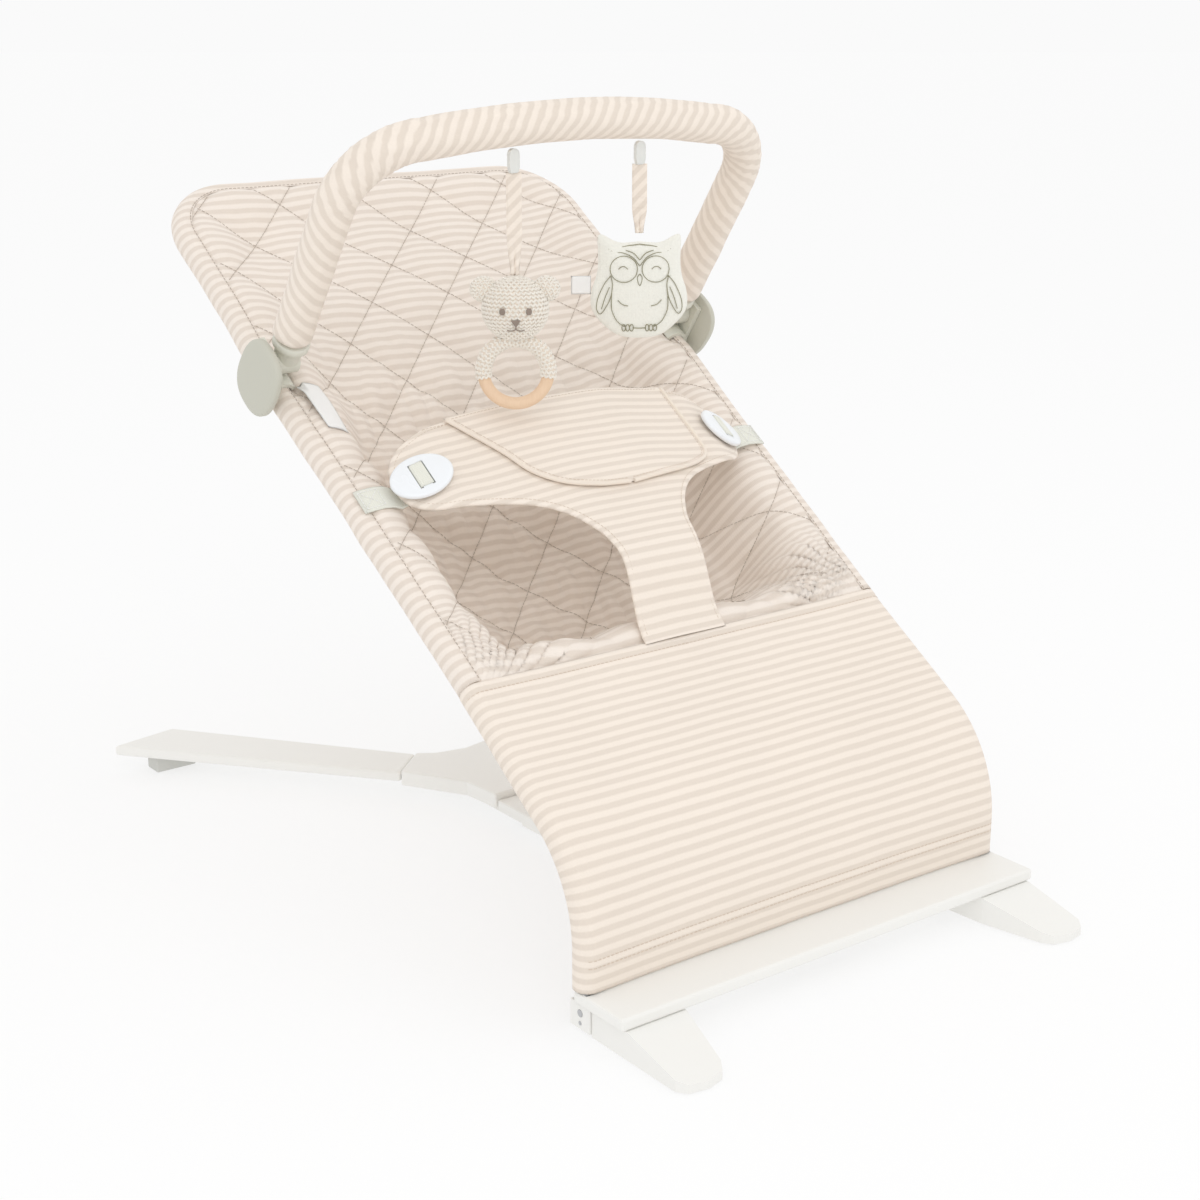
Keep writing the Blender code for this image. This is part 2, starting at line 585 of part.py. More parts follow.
def seat_box(x0, x1, s_middle, s_size, off0, off1):
    """A box whose sides follow the seat's own directions."""
    outline = [seat_point(x, s_middle, off) for x, off in ((x0, off0), (x1, off0), (x1, off1), (x0, off1))]
    return prism_bm(outline, -ALONG * s_size / 2, ALONG * s_size / 2)


def make_toggles(body):
    slot_x = 0.0075
    for side, sign in SIDES.items():
        ring = [(TOGGLE_X + TOGGLE_LONG / 2 * math.cos(a), TOGGLE_S + TOGGLE_SHORT / 2 * math.sin(a))
                for a in (2 * math.pi * k / 28 for k in range(28))]
        outline = [seat_point(sign * x, s, TOGGLE_OFF) for x, s in ring]
        toggle = add_piece(prism_bm(outline, (0, 0, 0), OUT * TOGGLE_THICK), f"toggle_{side}",
                           "toggle_plastic", body)
        for n, step in enumerate((-slot_x, slot_x)):
            x = sign * (TOGGLE_X + step)
            cut(toggle, seat_box(x - 0.0013, x + 0.0013, TOGGLE_S, WEB_WIDTH + 0.001, 0.03, 0.06),
                f"cut_slot_{side}_{n}")
        bevel(toggle, 0.0012, 1)
        make_webbing(side, sign, slot_x, body)


def make_webbing(side, sign, slot_x, body):
    """A strap from the side tube, up and down through the toggle's slots, with a short tail."""
    top = TOGGLE_OFF + TOGGLE_THICK + GAP + WEB_THICK / 2
    low = HARNESS_OFF - 0.0050
    centre = [(tube_x(TOGGLE_S) - SLEEVE_R - 0.0010, 0.0085), (TOGGLE_X + 0.016, low - 0.001),
              (TOGGLE_X + slot_x, low), (TOGGLE_X + slot_x, top), (TOGGLE_X - slot_x, top),
              (TOGGLE_X - slot_x, low), (TOGGLE_X - slot_x - 0.018, low)]
    points = [Vector(p) for p in centre]
    half = WEB_THICK / 2
    left, right = [], []
    for i, point in enumerate(points):
        before = (point - points[i - 1]).normalized() if i else None
        after = (points[i + 1] - point).normalized() if i + 1 < len(points) else None
        before, after = before or after, after or before
        mean = (before + after).normalized()
        normal = Vector((-mean.y, mean.x))
        reach = half / max(0.5, normal.dot(Vector((-before.y, before.x))))
        left.append(point + normal * reach)
        right.append(point - normal * reach)
    section = [seat_point(sign * p.x, TOGGLE_S, p.y) for p in left + right[::-1]]
    width = WEB_WIDTH - 0.001
    add_piece(prism_bm(section, -ALONG * width / 2, ALONG * width / 2), f"webbing_{side}", "webbing",
              body)


# ---------------------------------------------------------------- toy bar and its clamps
def bar_point(x, height):
    return seat_point(x, BAR_S, BAR_OFF + height)


def bar_top(x):
    return BAR_LEG + BAR_CORNER_R + BAR_CROWN * (1 - (x / (BAR_X - BAR_CORNER_R)) ** 2)


def bar_path(start):
    """The arch of the toy bar from right to left, its ends at height start."""
    inner = BAR_X - BAR_CORNER_R
    right = [(BAR_X, start), (BAR_X, 0.09)]
    right += arc((inner, BAR_LEG), BAR_CORNER_R, 0, 82, 6)
    right += [(x, bar_top(x)) for x in (0.115, 0.075, 0.035)]
    plan = right + [(0.0, bar_top(0))] + [(-x, h) for x, h in reversed(right)]
    return [bar_point(x, h) for x, h in plan]


def ear_x():
    """Inner face of the clamp's ear, just outside the sleeve."""
    return tube_x(BAR_S) + SLEEVE_R + 2 * GAP


def make_toy_bar(body):
    add_piece(sweep_bm(bar_path(0.0115), BAR_ROD_R, 0, 8), "toy_bar_rod", "steel", body)
    add_piece(sweep_bm(bar_path(SOCKET_TOP + GAP), BAR_R, BAR_ROD_R + 0.0005, 10), "toy_bar_cover",
              "stripe_fabric", body)
    for side, sign in SIDES.items():
        centre = bar_point(sign * BAR_X, 0)
        hub_x0, hub_x1 = BAR_X - SOCKET_HALF_X, ear_x() - GAP
        hub = cylinder_bm(bar_point(sign * (hub_x0 + hub_x1) / 2, 0), (1, 0, 0), SOCKET_HUB_R,
                          hub_x1 - hub_x0, 20)
        socket = add_piece(hub, f"bar_socket_{side}", "sage_plastic", body)
        cup = cylinder_bm(centre + OUT * (SOCKET_TOP + 0.004) / 2, OUT, SOCKET_HALF_X - 0.0001,
                          SOCKET_TOP - 0.004, 20)
        cut(socket, cup, f"join_cup_{side}", "UNION")
        rim = cylinder_bm(bar_point(sign * (BAR_X - 0.0045), SOCKET_TOP - 0.004), OUT, 0.0158, 0.0078, 20)
        cut(socket, rim, f"join_rim_{side}", "UNION")
        bore = cylinder_bm(centre + OUT * 0.026, OUT, BAR_ROD_R + GAP, 0.030, 12)
        cut(socket, bore, f"cut_socket_bore_{side}")
        cut(socket, cylinder_bm(centre, (1, 0, 0), 0.0030 + GAP, 0.06, 16), f"cut_socket_axle_{side}")


def make_clamps(body):
    """Jaw that snaps round the sleeved tube, swing axle and outer cap."""
    x_tube = tube_x(BAR_S)
    for side, sign in SIDES.items():
        outer = arc((0, 0), JAW_R, -60, 140, 16)
        inner = arc((0, 0), SLEEVE_R + 0.0008, 140, -60, 16)
        section = [seat_point(sign * (x_tube + a), BAR_S, b) for a, b in outer + inner]
        jaw = add_piece(prism_bm(section, -ALONG * 0.017, ALONG * 0.017), f"clamp_jaw_{side}",
                        "sage_plastic", body)
        x0, x1 = sorted((sign * ear_x(), sign * (ear_x() + EAR_THICK)))
        cut(jaw, seat_box(x0, x1, BAR_S, 0.030, -0.006, 0.042), f"join_ear_{side}", "UNION")
        cut(jaw, cylinder_bm(bar_point(sign * ear_x(), 0), (1, 0, 0), 0.0030 + GAP / 2, 0.03, 16),
            f"cut_ear_{side}")
        pin_x0, pin_x1 = BAR_X - SOCKET_HALF_X, ear_x() + EAR_THICK
        middle = bar_point(sign * (pin_x0 + pin_x1) / 2, 0)
        add_piece(cylinder_bm(middle, (1, 0, 0), 0.0030, pin_x1 - pin_x0, 16), f"clamp_pin_{side}",
                  "steel", body)
        make_cap(side, sign, body)


def make_cap(side, sign, body):
    """A domed, round-cornered square cover on the outside of each clamp."""
    power = 2.0 / 3.0
    back = ear_x() + EAR_THICK + GAP
    levels = ((back, 1.0), (back + 0.0035, 1.0), (back + 0.0062, 0.93), (back + 0.0078, 0.72))
    bm = bmesh.new()
    rings = []
    for x, size in levels:
        ring = []
        for k in range(28):
            a = 2 * math.pi * k / 28
            ca, sa = math.cos(a), math.sin(a)
            u = math.copysign(abs(ca) ** power, ca) * CAP_HALF * size
            v = math.copysign(abs(sa) ** power, sa) * CAP_HALF * size
            ring.append(bm.verts.new(seat_point(sign * x, BAR_S + u, BAR_OFF - CAP_DROP + v)))
        rings.append(ring)
    for first, second in zip(rings, rings[1:]):
        for k in range(28):
            m = (k + 1) % 28
            bm.faces.new((first[k], first[m], second[m], second[k]))
    bm.faces.new(rings[0])
    bm.faces.new(rings[-1])
    add_piece(bm, f"clamp_cap_{side}", "sage_plastic", body)


# ---------------------------------------------------------------- hanging toys
def toy_hook(name):
    """The swing axis of a toy, just under the padded bar."""
    x = TOY_X[name]
    under = bar_point(x, bar_top(x)) - Vector((0, 0, BAR_R + 0.0062))
    return under


def twist(bm, name):
    """Turn a toy's piece about the vertical through its hook."""
    hook = toy_hook(name)
    turn = Matrix.Translation(hook) @ Matrix.Rotation(TOY_TWIST, 4, "Z") @ Matrix.Translation(-hook)
    bmesh.ops.transform(bm, matrix=turn, verts=bm.verts)
    return bm


def make_link_and_strap(name, strap, body):
    hook = toy_hook(name)
    plan = arc((0, 0), 0.0050, 0, 180, 8)
    plan += [(-0.0050, -TOY_LINK + 0.0100), (-0.0035, -TOY_LINK + 0.0052), (0.0035, -TOY_LINK + 0.0052),
             (0.0050, -TOY_LINK + 0.0100)]
    outline = [(hook.x + a, hook.y, hook.z + b) for a, b in plan]
    add_piece(prism_bm(outline, (0, -0.002, 0), (0, 0.002, 0)), f"{name}_link", "clear_plastic", body)
    top = hook.z - TOY_LINK + 0.0052 - GAP
    strip = box_bm((hook.x - 0.0065, hook.y - 0.0013, top - strap),
                   (hook.x + 0.0065, hook.y + 0.0013, top))
    piece = add_piece(twist(strip, name), f"{name}_strap", "stripe_fabric", body)
    bevel(piece, 0.0005, 1)
    return top - strap


def ellipsoid_bm(centre, radii, across=16, high=10):
    bm = bmesh.new()
    bmesh.ops.create_uvsphere(bm, u_segments=across, v_segments=high, radius=1.0)
    bmesh.ops.scale(bm, vec=Vector(radii), verts=bm.verts)
    bmesh.ops.translate(bm, vec=Vector(centre), verts=bm.verts)
    return bm


def ring_path(centre, start, end, steps):
    return [Vector((centre[0] + a, centre[1], centre[2] + b)) for a, b in
            arc((0, 0), RING_R, start, end, steps)]


def make_bear(body):
    """Crocheted bear's head over a beech ring whose upper half is crocheted round."""
    hook = toy_hook("bear")
    head_top = make_link_and_strap("bear", BEAR_STRAP, body) - GAP
    head_h, head_w, head_d = 0.0275, 0.0285, 0.0225
    head_z = head_top - head_h
    skull = ellipsoid_bm((hook.x, hook.y, head_z), (head_w, head_d, head_h))
    head = add_piece(twist(skull, "bear"), "bear_head", "crochet", body)
    for k, sign in enumerate((-1, 1)):
        ear = ellipsoid_bm((hook.x + sign * 0.0265, hook.y, head_z + 0.0165), (0.0115, 0.0060, 0.0105),
                           12, 8)
        cut(head, twist(ear, "bear"), f"join_ear_bear_{k}", "UNION")
    ring_z = head_z - head_h - RING_R - RING_WRAP_R + 0.0090
    centre = (hook.x, hook.y, ring_z)
    recess = sweep_bm(ring_path(centre, 40, 140, 12), RING_WRAP_R + GAP, 0, 12)
    cut(head, twist(recess, "bear"), "cut_head_seat")
    ring = sweep_bm(ring_path(centre, 0, 360, 28)[:-1], RING_TUBE_R, 0, 8, closed=True)
    add_piece(twist(ring, "bear"), "wooden_ring", "beech", body)
    wrap = sweep_bm(ring_path(centre, -8, 188, 18), RING_WRAP_R, RING_TUBE_R + 0.0007, 10)
    add_piece(twist(wrap, "bear"), "ring_wrap", "crochet", body)


def make_owl(body):
    """A flat plush owl: plump body with two pointed ear tufts, and a blank side tag."""
    hook = toy_hook("owl")
    top = make_link_and_strap("owl", OWL_STRAP, body) - GAP
    half_w, height = 0.0425, 0.0870
    plan = [(0.0, -0.003), (0.014, -0.004), (0.024, -0.001), (0.034, 0.003), (0.036, -0.006),
            (0.036, -0.026), (half_w, -0.048), (0.0385, -0.066), (0.026, -0.080), (0.012, -height)]
    plan = plan + [(-x, z) for x, z in reversed(plan[1:])]
    rings = []
    bm = bmesh.new()
    for depth, size in ((-0.0080, 0.78), (-0.0045, 1.0), (0.0045, 1.0), (0.0080, 0.78)):
        mid = -height / 2
        rings.append([bm.verts.new((hook.x + a * size, hook.y + depth, top - 0.0032 + mid + (b - mid) * size))
                      for a, b in plan])
    count = len(plan)
    for first, second in zip(rings, rings[1:]):
        for k in range(count):
            m = (k + 1) % count
            bm.faces.new((first[k], first[m], second[m], second[k]))
    bm.faces.new(rings[0])
    bm.faces.new(rings[-1])
    add_piece(twist(bm, "owl"), "owl_body", "sage_plush", body)
    x0 = hook.x - half_w - 0.0165
    tag = box_bm((x0, hook.y - 0.0005, top - 0.052), (x0 + 0.016, hook.y + 0.0005, top - 0.036))
    add_piece(twist(tag, "owl"), "owl_tag", "tag_cloth", body)


# ---------------------------------------------------------------- assembly
def main():
    base = make_empty("base_origin", (0, 0, 0))
    carrier = make_empty("recline_axis", (0, HINGE_Y, HINGE_Z), base)
    seat = make_empty("bounce_axis", (0, HINGE_Y, FLEX_Z), carrier)
    harness = make_empty("harness_axis", seat_point(0, HARNESS_S, 0.0115), seat)
    bar = make_empty("toy_bar_axis", bar_point(0, 0), seat)
    bear = make_empty("bear_axis", toy_hook("bear"), bar)
    owl = make_empty("owl_axis", toy_hook("owl"), bar)
    make_base(base)
    make_carrier(carrier)
    make_seat_frame(seat)
    make_cover(seat)
    make_toggles(seat)
    make_clamps(seat)
    make_harness(harness)
    make_toy_bar(bar)
    make_bear(bear)
    make_owl(owl)


clear_scene()
MATERIALS = {name: material(name, *look) for name, look in PALETTE.items()}
main()
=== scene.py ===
"""Looks of the baby bouncer seat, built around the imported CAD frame."""
import json
import math

import bmesh
import bpy
import numpy as np
from mathutils import Matrix, Vector, noise


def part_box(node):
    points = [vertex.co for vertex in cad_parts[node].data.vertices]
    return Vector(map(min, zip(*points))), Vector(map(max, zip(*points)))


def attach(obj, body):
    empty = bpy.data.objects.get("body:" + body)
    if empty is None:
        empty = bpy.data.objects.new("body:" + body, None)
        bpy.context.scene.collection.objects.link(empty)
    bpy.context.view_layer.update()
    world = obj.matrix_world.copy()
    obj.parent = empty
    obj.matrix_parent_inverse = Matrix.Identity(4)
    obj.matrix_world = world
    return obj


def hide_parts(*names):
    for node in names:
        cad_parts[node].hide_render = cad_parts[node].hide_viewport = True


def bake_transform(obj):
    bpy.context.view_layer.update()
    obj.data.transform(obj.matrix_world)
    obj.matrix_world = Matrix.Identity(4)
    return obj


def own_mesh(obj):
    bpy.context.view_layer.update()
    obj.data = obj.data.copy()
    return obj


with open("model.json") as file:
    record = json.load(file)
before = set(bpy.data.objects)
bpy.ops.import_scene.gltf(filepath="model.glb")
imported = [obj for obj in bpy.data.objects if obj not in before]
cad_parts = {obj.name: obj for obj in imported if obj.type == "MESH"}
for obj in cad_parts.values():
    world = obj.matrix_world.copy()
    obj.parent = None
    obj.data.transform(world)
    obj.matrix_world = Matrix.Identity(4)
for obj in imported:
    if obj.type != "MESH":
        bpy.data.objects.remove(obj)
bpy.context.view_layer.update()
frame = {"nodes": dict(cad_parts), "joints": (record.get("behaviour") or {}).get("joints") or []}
JOINT = {j["name"]: j for j in frame["joints"]}

# ---------------------------------------------------------------- the frame's line, as in the CAD
SEAT_ANGLE = math.radians(34.25)
ALONG = Vector((0, math.cos(SEAT_ANGLE), math.sin(SEAT_ANGLE)))
OUT = Vector((0, -math.sin(SEAT_ANGLE), math.cos(SEAT_ANGLE)))
BEND_R = 0.110
BEND_TURN = math.pi / 2 - SEAT_ANGLE
FLEX = Vector(JOINT["bounce"]["pos_m"])
HEM = Vector(JOINT["harness_fold"]["pos_m"]) + 0.002 * ALONG - 0.0115 * OUT
S_BEND_END = -(HEM.y - FLEX.y) / math.cos(SEAT_ANGLE) + BEND_R * math.tan(BEND_TURN / 2)
S_BEND_START = S_BEND_END - BEND_R * BEND_TURN
TUBE_WIDTHS = ((-0.12, 0.2100), (0.00, 0.2085), (0.20, 0.2115), (0.34, 0.2150), (0.46, 0.2110),
               (0.54, 0.2060))
S_SPLICE, S_HEAD, HEAD_CORNER_R = 0.460, 0.595, 0.060
POUCH_DEPTH = 0.100
SIDES = {"left": -1, "right": 1}
PLATE_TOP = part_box("front_plate")[1].z


def smooth(t):
    """0 up to t = 0, 1 from t = 1, and an eased step between."""
    t = min(1.0, max(0.0, t))
    return t * t * (3 - 2 * t)


def tube_x(s):
    """Distance of a side tube's centre from the middle at s."""
    if s <= TUBE_WIDTHS[0][0]:
        return TUBE_WIDTHS[0][1]
    for (s0, x0), (s1, x1) in zip(TUBE_WIDTHS, TUBE_WIDTHS[1:]):
        if s <= s1:
            return x0 + (x1 - x0) * smooth((s - s0) / (s1 - s0))
    return TUBE_WIDTHS[-1][1]


def seat_point(x, s, off=0.0):
    """A point at x, at distance s along the tube line from the hem, and off in front of it."""
    x, s, off = float(x), float(s), float(off)
    if s >= S_BEND_END:
        return Vector((x, HEM.y, HEM.z)) + s * ALONG + off * OUT
    if s >= S_BEND_START:
        angle = SEAT_ANGLE + (S_BEND_END - s) / BEND_R
        centre = Vector((x, HEM.y, HEM.z)) + S_BEND_END * ALONG - BEND_R * OUT
        return centre + (BEND_R + off) * Vector((0, -math.sin(angle), math.cos(angle)))
    return Vector((x, FLEX.y - off, FLEX.z - (S_BEND_START - s)))


def wobble(point, scale):
    """Smooth noise from -1 to 1, the same in each run."""
    return noise.noise(Vector(point) * scale)


def rounding(d, reach):
    """Height from 0 to 1 of a quarter-round border, d inward from an edge."""
    return math.sqrt(max(0.0, 1 - (1 - min(1.0, d / reach)) ** 2))


def run_along(line):
    """Distance along a line of points, at each of them."""
    steps = np.linalg.norm(np.diff(np.array([tuple(p) for p in line]), axis=0), axis=1)
    return np.concatenate([[0], np.cumsum(steps)])


def grid_normals(points):
    n = np.cross(np.gradient(points, axis=1), np.gradient(points, axis=0))
    return n / np.maximum(np.linalg.norm(n, axis=2, keepdims=True), 1e-12)


# ---------------------------------------------------------------- mesh building
class Build:
    """Collects grids and loose parts, with UVs and material numbers, into one mesh."""

    def __init__(self):
        self.verts, self.faces, self.uvs, self.mats = [], [], [], []

    def add(self, verts, faces, uvs=None, mat=0):
        base = len(self.verts)
        self.verts.extend(tuple(v) for v in verts)
        for face in faces:
            self.faces.append([base + i for i in face])
            self.mats.append(mat)
            self.uvs.extend([uvs[i] if uvs is not None else (0.0, 0.0) for i in face])

    def grid(self, points, uv, wrap=False, mat=0, flip=False):
        """points[i][j] and uv[i][j]; a wrapped grid joins its last column to the first, and its
        uv has one column more."""
        base = len(self.verts)
        rows, cols = len(points), len(points[0])
        for row in points:
            self.verts.extend(tuple(p) for p in row)
        for i in range(rows - 1):
            for j in range(cols if wrap else cols - 1):
                k = (j + 1) % cols
                face = [base + i * cols + j, base + i * cols + k, base + (i + 1) * cols + k,
                        base + (i + 1) * cols + j]
                corner = [uv[i][j], uv[i][j + 1], uv[i + 1][j + 1], uv[i + 1][j]]
                if flip:
                    face.reverse()
                    corner.reverse()
                self.faces.append(face)
                self.mats.append(mat)
                self.uvs.extend(corner)

    def caps(self, rows, cols, uv, base=0, mat=0):
        """Faces over the first and last ring of the wrapped grid that starts at vertex base."""
        for row in (0, rows - 1):
            self.faces.append([base + row * cols + k for k in range(cols)])
            self.mats.append(mat)
            self.uvs.extend(uv[row][:cols])

    def object(self, name, materials, body=None, slot=None, merge=0.0):
        mesh = bpy.data.meshes.new(name)
        mesh.from_pydata(self.verts, [], self.faces)
        layer = mesh.uv_layers.new(name="cloth")
        layer.data.foreach_set("uv", np.array(self.uvs, np.float32).ravel())
        mesh.polygons.foreach_set("material_index", self.mats)
        for mat in materials:
            mesh.materials.append(mat)
        bm = bmesh.new()
        bm.from_mesh(mesh)
        if merge:
            bmesh.ops.remove_doubles(bm, verts=bm.verts, dist=merge)
        bmesh.ops.recalc_face_normals(bm, faces=bm.faces)
        bm.to_mesh(mesh)
        bm.free()
        mesh.shade_smooth()
        obj = bpy.data.objects.new(name, mesh)
        bpy.context.scene.collection.objects.link(obj)
        if body:
            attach(obj, body)
        return obj


def padded_grid(build, mid, uv, thick, round_edge, edges):
    """A closed sheet about the middle surface mid, its borders rounded over round_edge metres.
    edges(i, j) is the distance in the sheet from a border."""
    mid = np.array([[tuple(p) for p in row] for row in mid], float)
    rows, cols = mid.shape[:2]
    half = grid_normals(mid) * [[[thick / 2 * rounding(edges(i, j), round_edge)] for j in range(cols)]
                                for i in range(rows)]
    build.grid(mid + half, uv)
    build.grid(mid - half, uv, flip=True)


def tube(build, path, radius, sides=12, mat=0, closed=False, squeeze=1.0):
    """A round tube along path; radius is a number or a function of (fraction along, angle)."""
    path = [Vector(p) for p in path]
    count = len(path)
    ahead = []
    for i in range(count):
        a, b = path[(i + 1) % count], path[i - 1]
        if not closed and i == 0:
            a, b = path[1], path[0]
        if not closed and i == count - 1:
            a, b = path[-1], path[-2]
        ahead.append((a - b).normalized())
    side = ahead[0].orthogonal().normalized()
    points, uv, travelled = [], [], 0.0
    for i, (p, f) in enumerate(zip(path, ahead)):
        side = (side - f * side.dot(f)).normalized()
        across = f.cross(side)
        if i:
            travelled += (p - path[i - 1]).length
        row, coords = [], []
        for k in range(sides + 1):
            a = 2 * math.pi * k / sides
            r = radius(i / (count - 1), a) if callable(radius) else radius
            if k < sides:
                row.append(p + r * (math.cos(a) * side + squeeze * math.sin(a) * across))
            coords.append((r * a, travelled))
        points.append(row)
        uv.append(coords)
    if closed:
        points.append(points[0])
        uv.append([(c[0], travelled + (path[0] - path[-1]).length) for c in uv[0]])
    base = len(build.verts)
    build.grid(points, uv, wrap=True, mat=mat)
    if not closed:
        build.caps(count, sides, uv, base, mat)


def stitches(build, points, normals, mat, length=0.0032, gap=0.0013, radius=0.00038, lift=0.0):
    """Short thread loops along a line that lies on a surface."""
    points = [Vector(p) for p in points]
    spans = run_along(points)
    total = spans[-1]

    def at(d):
        d = min(max(d, 0.0), total)
        i = int(np.searchsorted(spans, d, side="right")) - 1
        i = min(max(i, 0), len(points) - 2)
        t = (d - spans[i]) / max(spans[i + 1] - spans[i], 1e-9)
        n = (Vector(normals[i]) * (1 - t) + Vector(normals[i + 1]) * t).normalized()
        return points[i].lerp(points[i + 1], t), n

    d = gap / 2
    while d + length < total:
        (a, na), (b, nb) = at(d), at(d + length)
        f = (b - a).normalized()
        n = (na + nb).normalized()
        w = f.cross(n).normalized()
        verts = []
        for t, high in ((0.0, -0.4), (0.2, 0.7), (0.8, 0.7), (1.0, -0.4)):
            c = a.lerp(b, t) + n * (lift + radius * high)
            for k in range(5):
                ang = 2 * math.pi * k / 5
                verts.append(c + radius * (math.cos(ang) * w + math.sin(ang) * n))
        faces = [[i * 5 + k, i * 5 + (k + 1) % 5, (i + 1) * 5 + (k + 1) % 5, (i + 1) * 5 + k]
                 for i in range(3) for k in range(5)]
        faces += [[0, 1, 2, 3, 4], [15, 16, 17, 18, 19]]
        build.add(verts, faces, None, mat)
        d += length + gap


# ---------------------------------------------------------------- node materials
def srgb(r, g, b):
    """Linear colour of an sRGB colour given in 0 to 255."""
    def lin(c):
        c /= 255
        return c / 12.92 if c <= 0.04045 else ((c + 0.055) / 1.055) ** 2.4
    return (lin(r), lin(g), lin(b), 1.0)


class Shader:
    """A Principled material with short calls for the nodes that feed it."""

    def __init__(self, name, **uniform):
        self.mat = bpy.data.materials.new(name)
        self.mat.use_nodes = True
        self.tree = self.mat.node_tree
        self.main = self.tree.nodes["Principled BSDF"]
        for key, value in uniform.items():
            self.main.inputs[key.replace("_", " ")].default_value = value

    def node(self, kind, values=None, **settings):
        made = self.tree.nodes.new(kind)
        for key, value in settings.items():
            setattr(made, key, value)
        for key, value in (values or {}).items():
            self.feed(made.inputs[key], value)
        return made

    def feed(self, socket, value):
        if isinstance(value, bpy.types.NodeSocket):
            self.tree.links.new(value, socket)
        else:
            socket.default_value = value

    def math(self, op, a, b=0.0, c=0.0, clamp=False):
        made = self.node("ShaderNodeMath", {0: a, 1: b, 2: c}, operation=op, use_clamp=clamp)
        return made.outputs[0]

    def uv(self):
        cloth = self.node("ShaderNodeUVMap", uv_map="cloth")
        parts = self.node("ShaderNodeSeparateXYZ", {0: cloth.outputs[0]})
        return parts.outputs[0], parts.outputs[1]

    def place(self):
        return self.node("ShaderNodeTexCoord").outputs["Object"]

    def vector(self, x, y, z=0.0):
        return self.node("ShaderNodeCombineXYZ", {0: x, 1: y, 2: z}).outputs[0]

    def noise(self, at, scale, detail=3.0, rough=0.5):
        return self.node("ShaderNodeTexNoise", {"Vector": at, "Scale": scale, "Detail": detail,
                                                "Roughness": rough}).outputs[0]

    def mix(self, share, a, b):
        made = self.node("ShaderNodeMix", data_type="RGBA")
        self.feed(made.inputs["Factor"], share)
        self.feed(made.inputs[6], a)
        self.feed(made.inputs[7], b)
        return made.outputs[2]

    def wave(self, value, pitch):
        """A sine of value with that pitch, from 0 to 1."""
        turn = self.math("SINE", self.math("MULTIPLY", value, 2 * math.pi / pitch))
        return self.math("MULTIPLY_ADD", turn, 0.5, 0.5)

    def bump(self, height, depth, strength=1.0, below=None):
        made = self.node("ShaderNodeBump", {"Height": height, "Distance": depth, "Strength": strength})
        if below is not None:
            self.feed(made.inputs["Normal"], below)
        return made.outputs[0]

    def done(self, colour=None, roughness=None, normal=None):
        for name, value in (("Base Color", colour), ("Roughness", roughness), ("Normal", normal)):
            if value is not None:
                self.feed(self.main.inputs[name], value)
        return self.mat


LIGHT, DARK = srgb(247, 236, 224), srgb(233, 221, 208)


def cloth_material(name, pitch=0.00905, turn=0.0, light=LIGHT, dark=DARK, contrast=1.1,
                   weave=0.00085):
    """Yarn-dyed striped cotton. turn is the angle of the stripes in the cloth's own UVs."""
    sh = Shader(name, Roughness=0.88, Sheen_Weight=0.18, Sheen_Roughness=0.45,
                Specular_IOR_Level=0.25)
    u, v = sh.uv()
    place = sh.vector(u, v)
    along = sh.math("ADD", sh.math("MULTIPLY", v, math.cos(turn)),
                    sh.math("MULTIPLY", u, math.sin(turn)))
    drift = sh.math("MULTIPLY_ADD", sh.noise(place, 14.0, 2.0), 0.0022, -0.0011)
    drawn_out = sh.vector(sh.math("MULTIPLY", u, 0.25), v)
    slub = sh.math("MULTIPLY_ADD", sh.noise(drawn_out, 900.0, 2.0), 0.0009, -0.00045)
    line = sh.math("ADD", sh.math("ADD", along, drift), slub)
    turn_wave = sh.math("SINE", sh.math("MULTIPLY", line, 2 * math.pi / pitch))
    band = sh.math("MULTIPLY_ADD", turn_wave, contrast, 0.5, clamp=True)
    base = sh.mix(band, light, dark)
    threads = sh.math("MULTIPLY", sh.wave(u, weave), sh.wave(v, weave))
    patch = sh.noise(place, 9.0, 3.0)
    speck = sh.noise(place, 700.0, 2.0)
    tone = sh.math("ADD", sh.math("MULTIPLY", patch, 0.05), sh.math("MULTIPLY", speck, 0.07))
    tone = sh.math("ADD", tone, sh.math("MULTIPLY", threads, 0.06), 0.0)
    shade = sh.math("ADD", tone, 0.90)
    grey = sh.node("ShaderNodeCombineColor", {0: shade, 1: shade, 2: shade}).outputs[0]
    colour = sh.node("ShaderNodeMix", data_type="RGBA", blend_type="MULTIPLY")
    sh.feed(colour.inputs["Factor"], 1.0)
    sh.feed(colour.inputs[6], base)
    sh.feed(colour.inputs[7], grey)
    height = sh.math("ADD", threads, sh.math("MULTIPLY", speck, 0.8))
    coarse = sh.bump(sh.noise(place, 60.0, 3.0), 0.0009, 0.5)
    normal = sh.bump(height, 0.00025, 0.55, coarse)
    rough = sh.math("MULTIPLY_ADD", speck, 0.12, 0.80)
    return sh.done(colour.outputs[2], rough, normal)


def plain_cloth(name, colour, weave=0.0011, depth=0.0003, spread=0.08, sheen=0.2):
    """Plain woven webbing, ribbon or plush."""
    sh = Shader(name, Roughness=0.85, Sheen_Weight=sheen, Specular_IOR_Level=0.25)
    u, v = sh.uv()
    place = sh.vector(u, v)
    threads = sh.math("MULTIPLY", sh.wave(u, weave), sh.wave(v, weave))
    speck = sh.noise(place, 800.0, 3.0)
    share = sh.math("ADD", sh.math("MULTIPLY", threads, 0.6), sh.math("MULTIPLY", speck, 0.4))
    low = tuple(c * (1 - spread) for c in colour[:3]) + (1.0,)
    normal = sh.bump(sh.math("ADD", threads, speck), depth, 0.6)
    return sh.done(sh.mix(share, low, colour), sh.math("MULTIPLY_ADD", speck, 0.12, 0.78), normal)


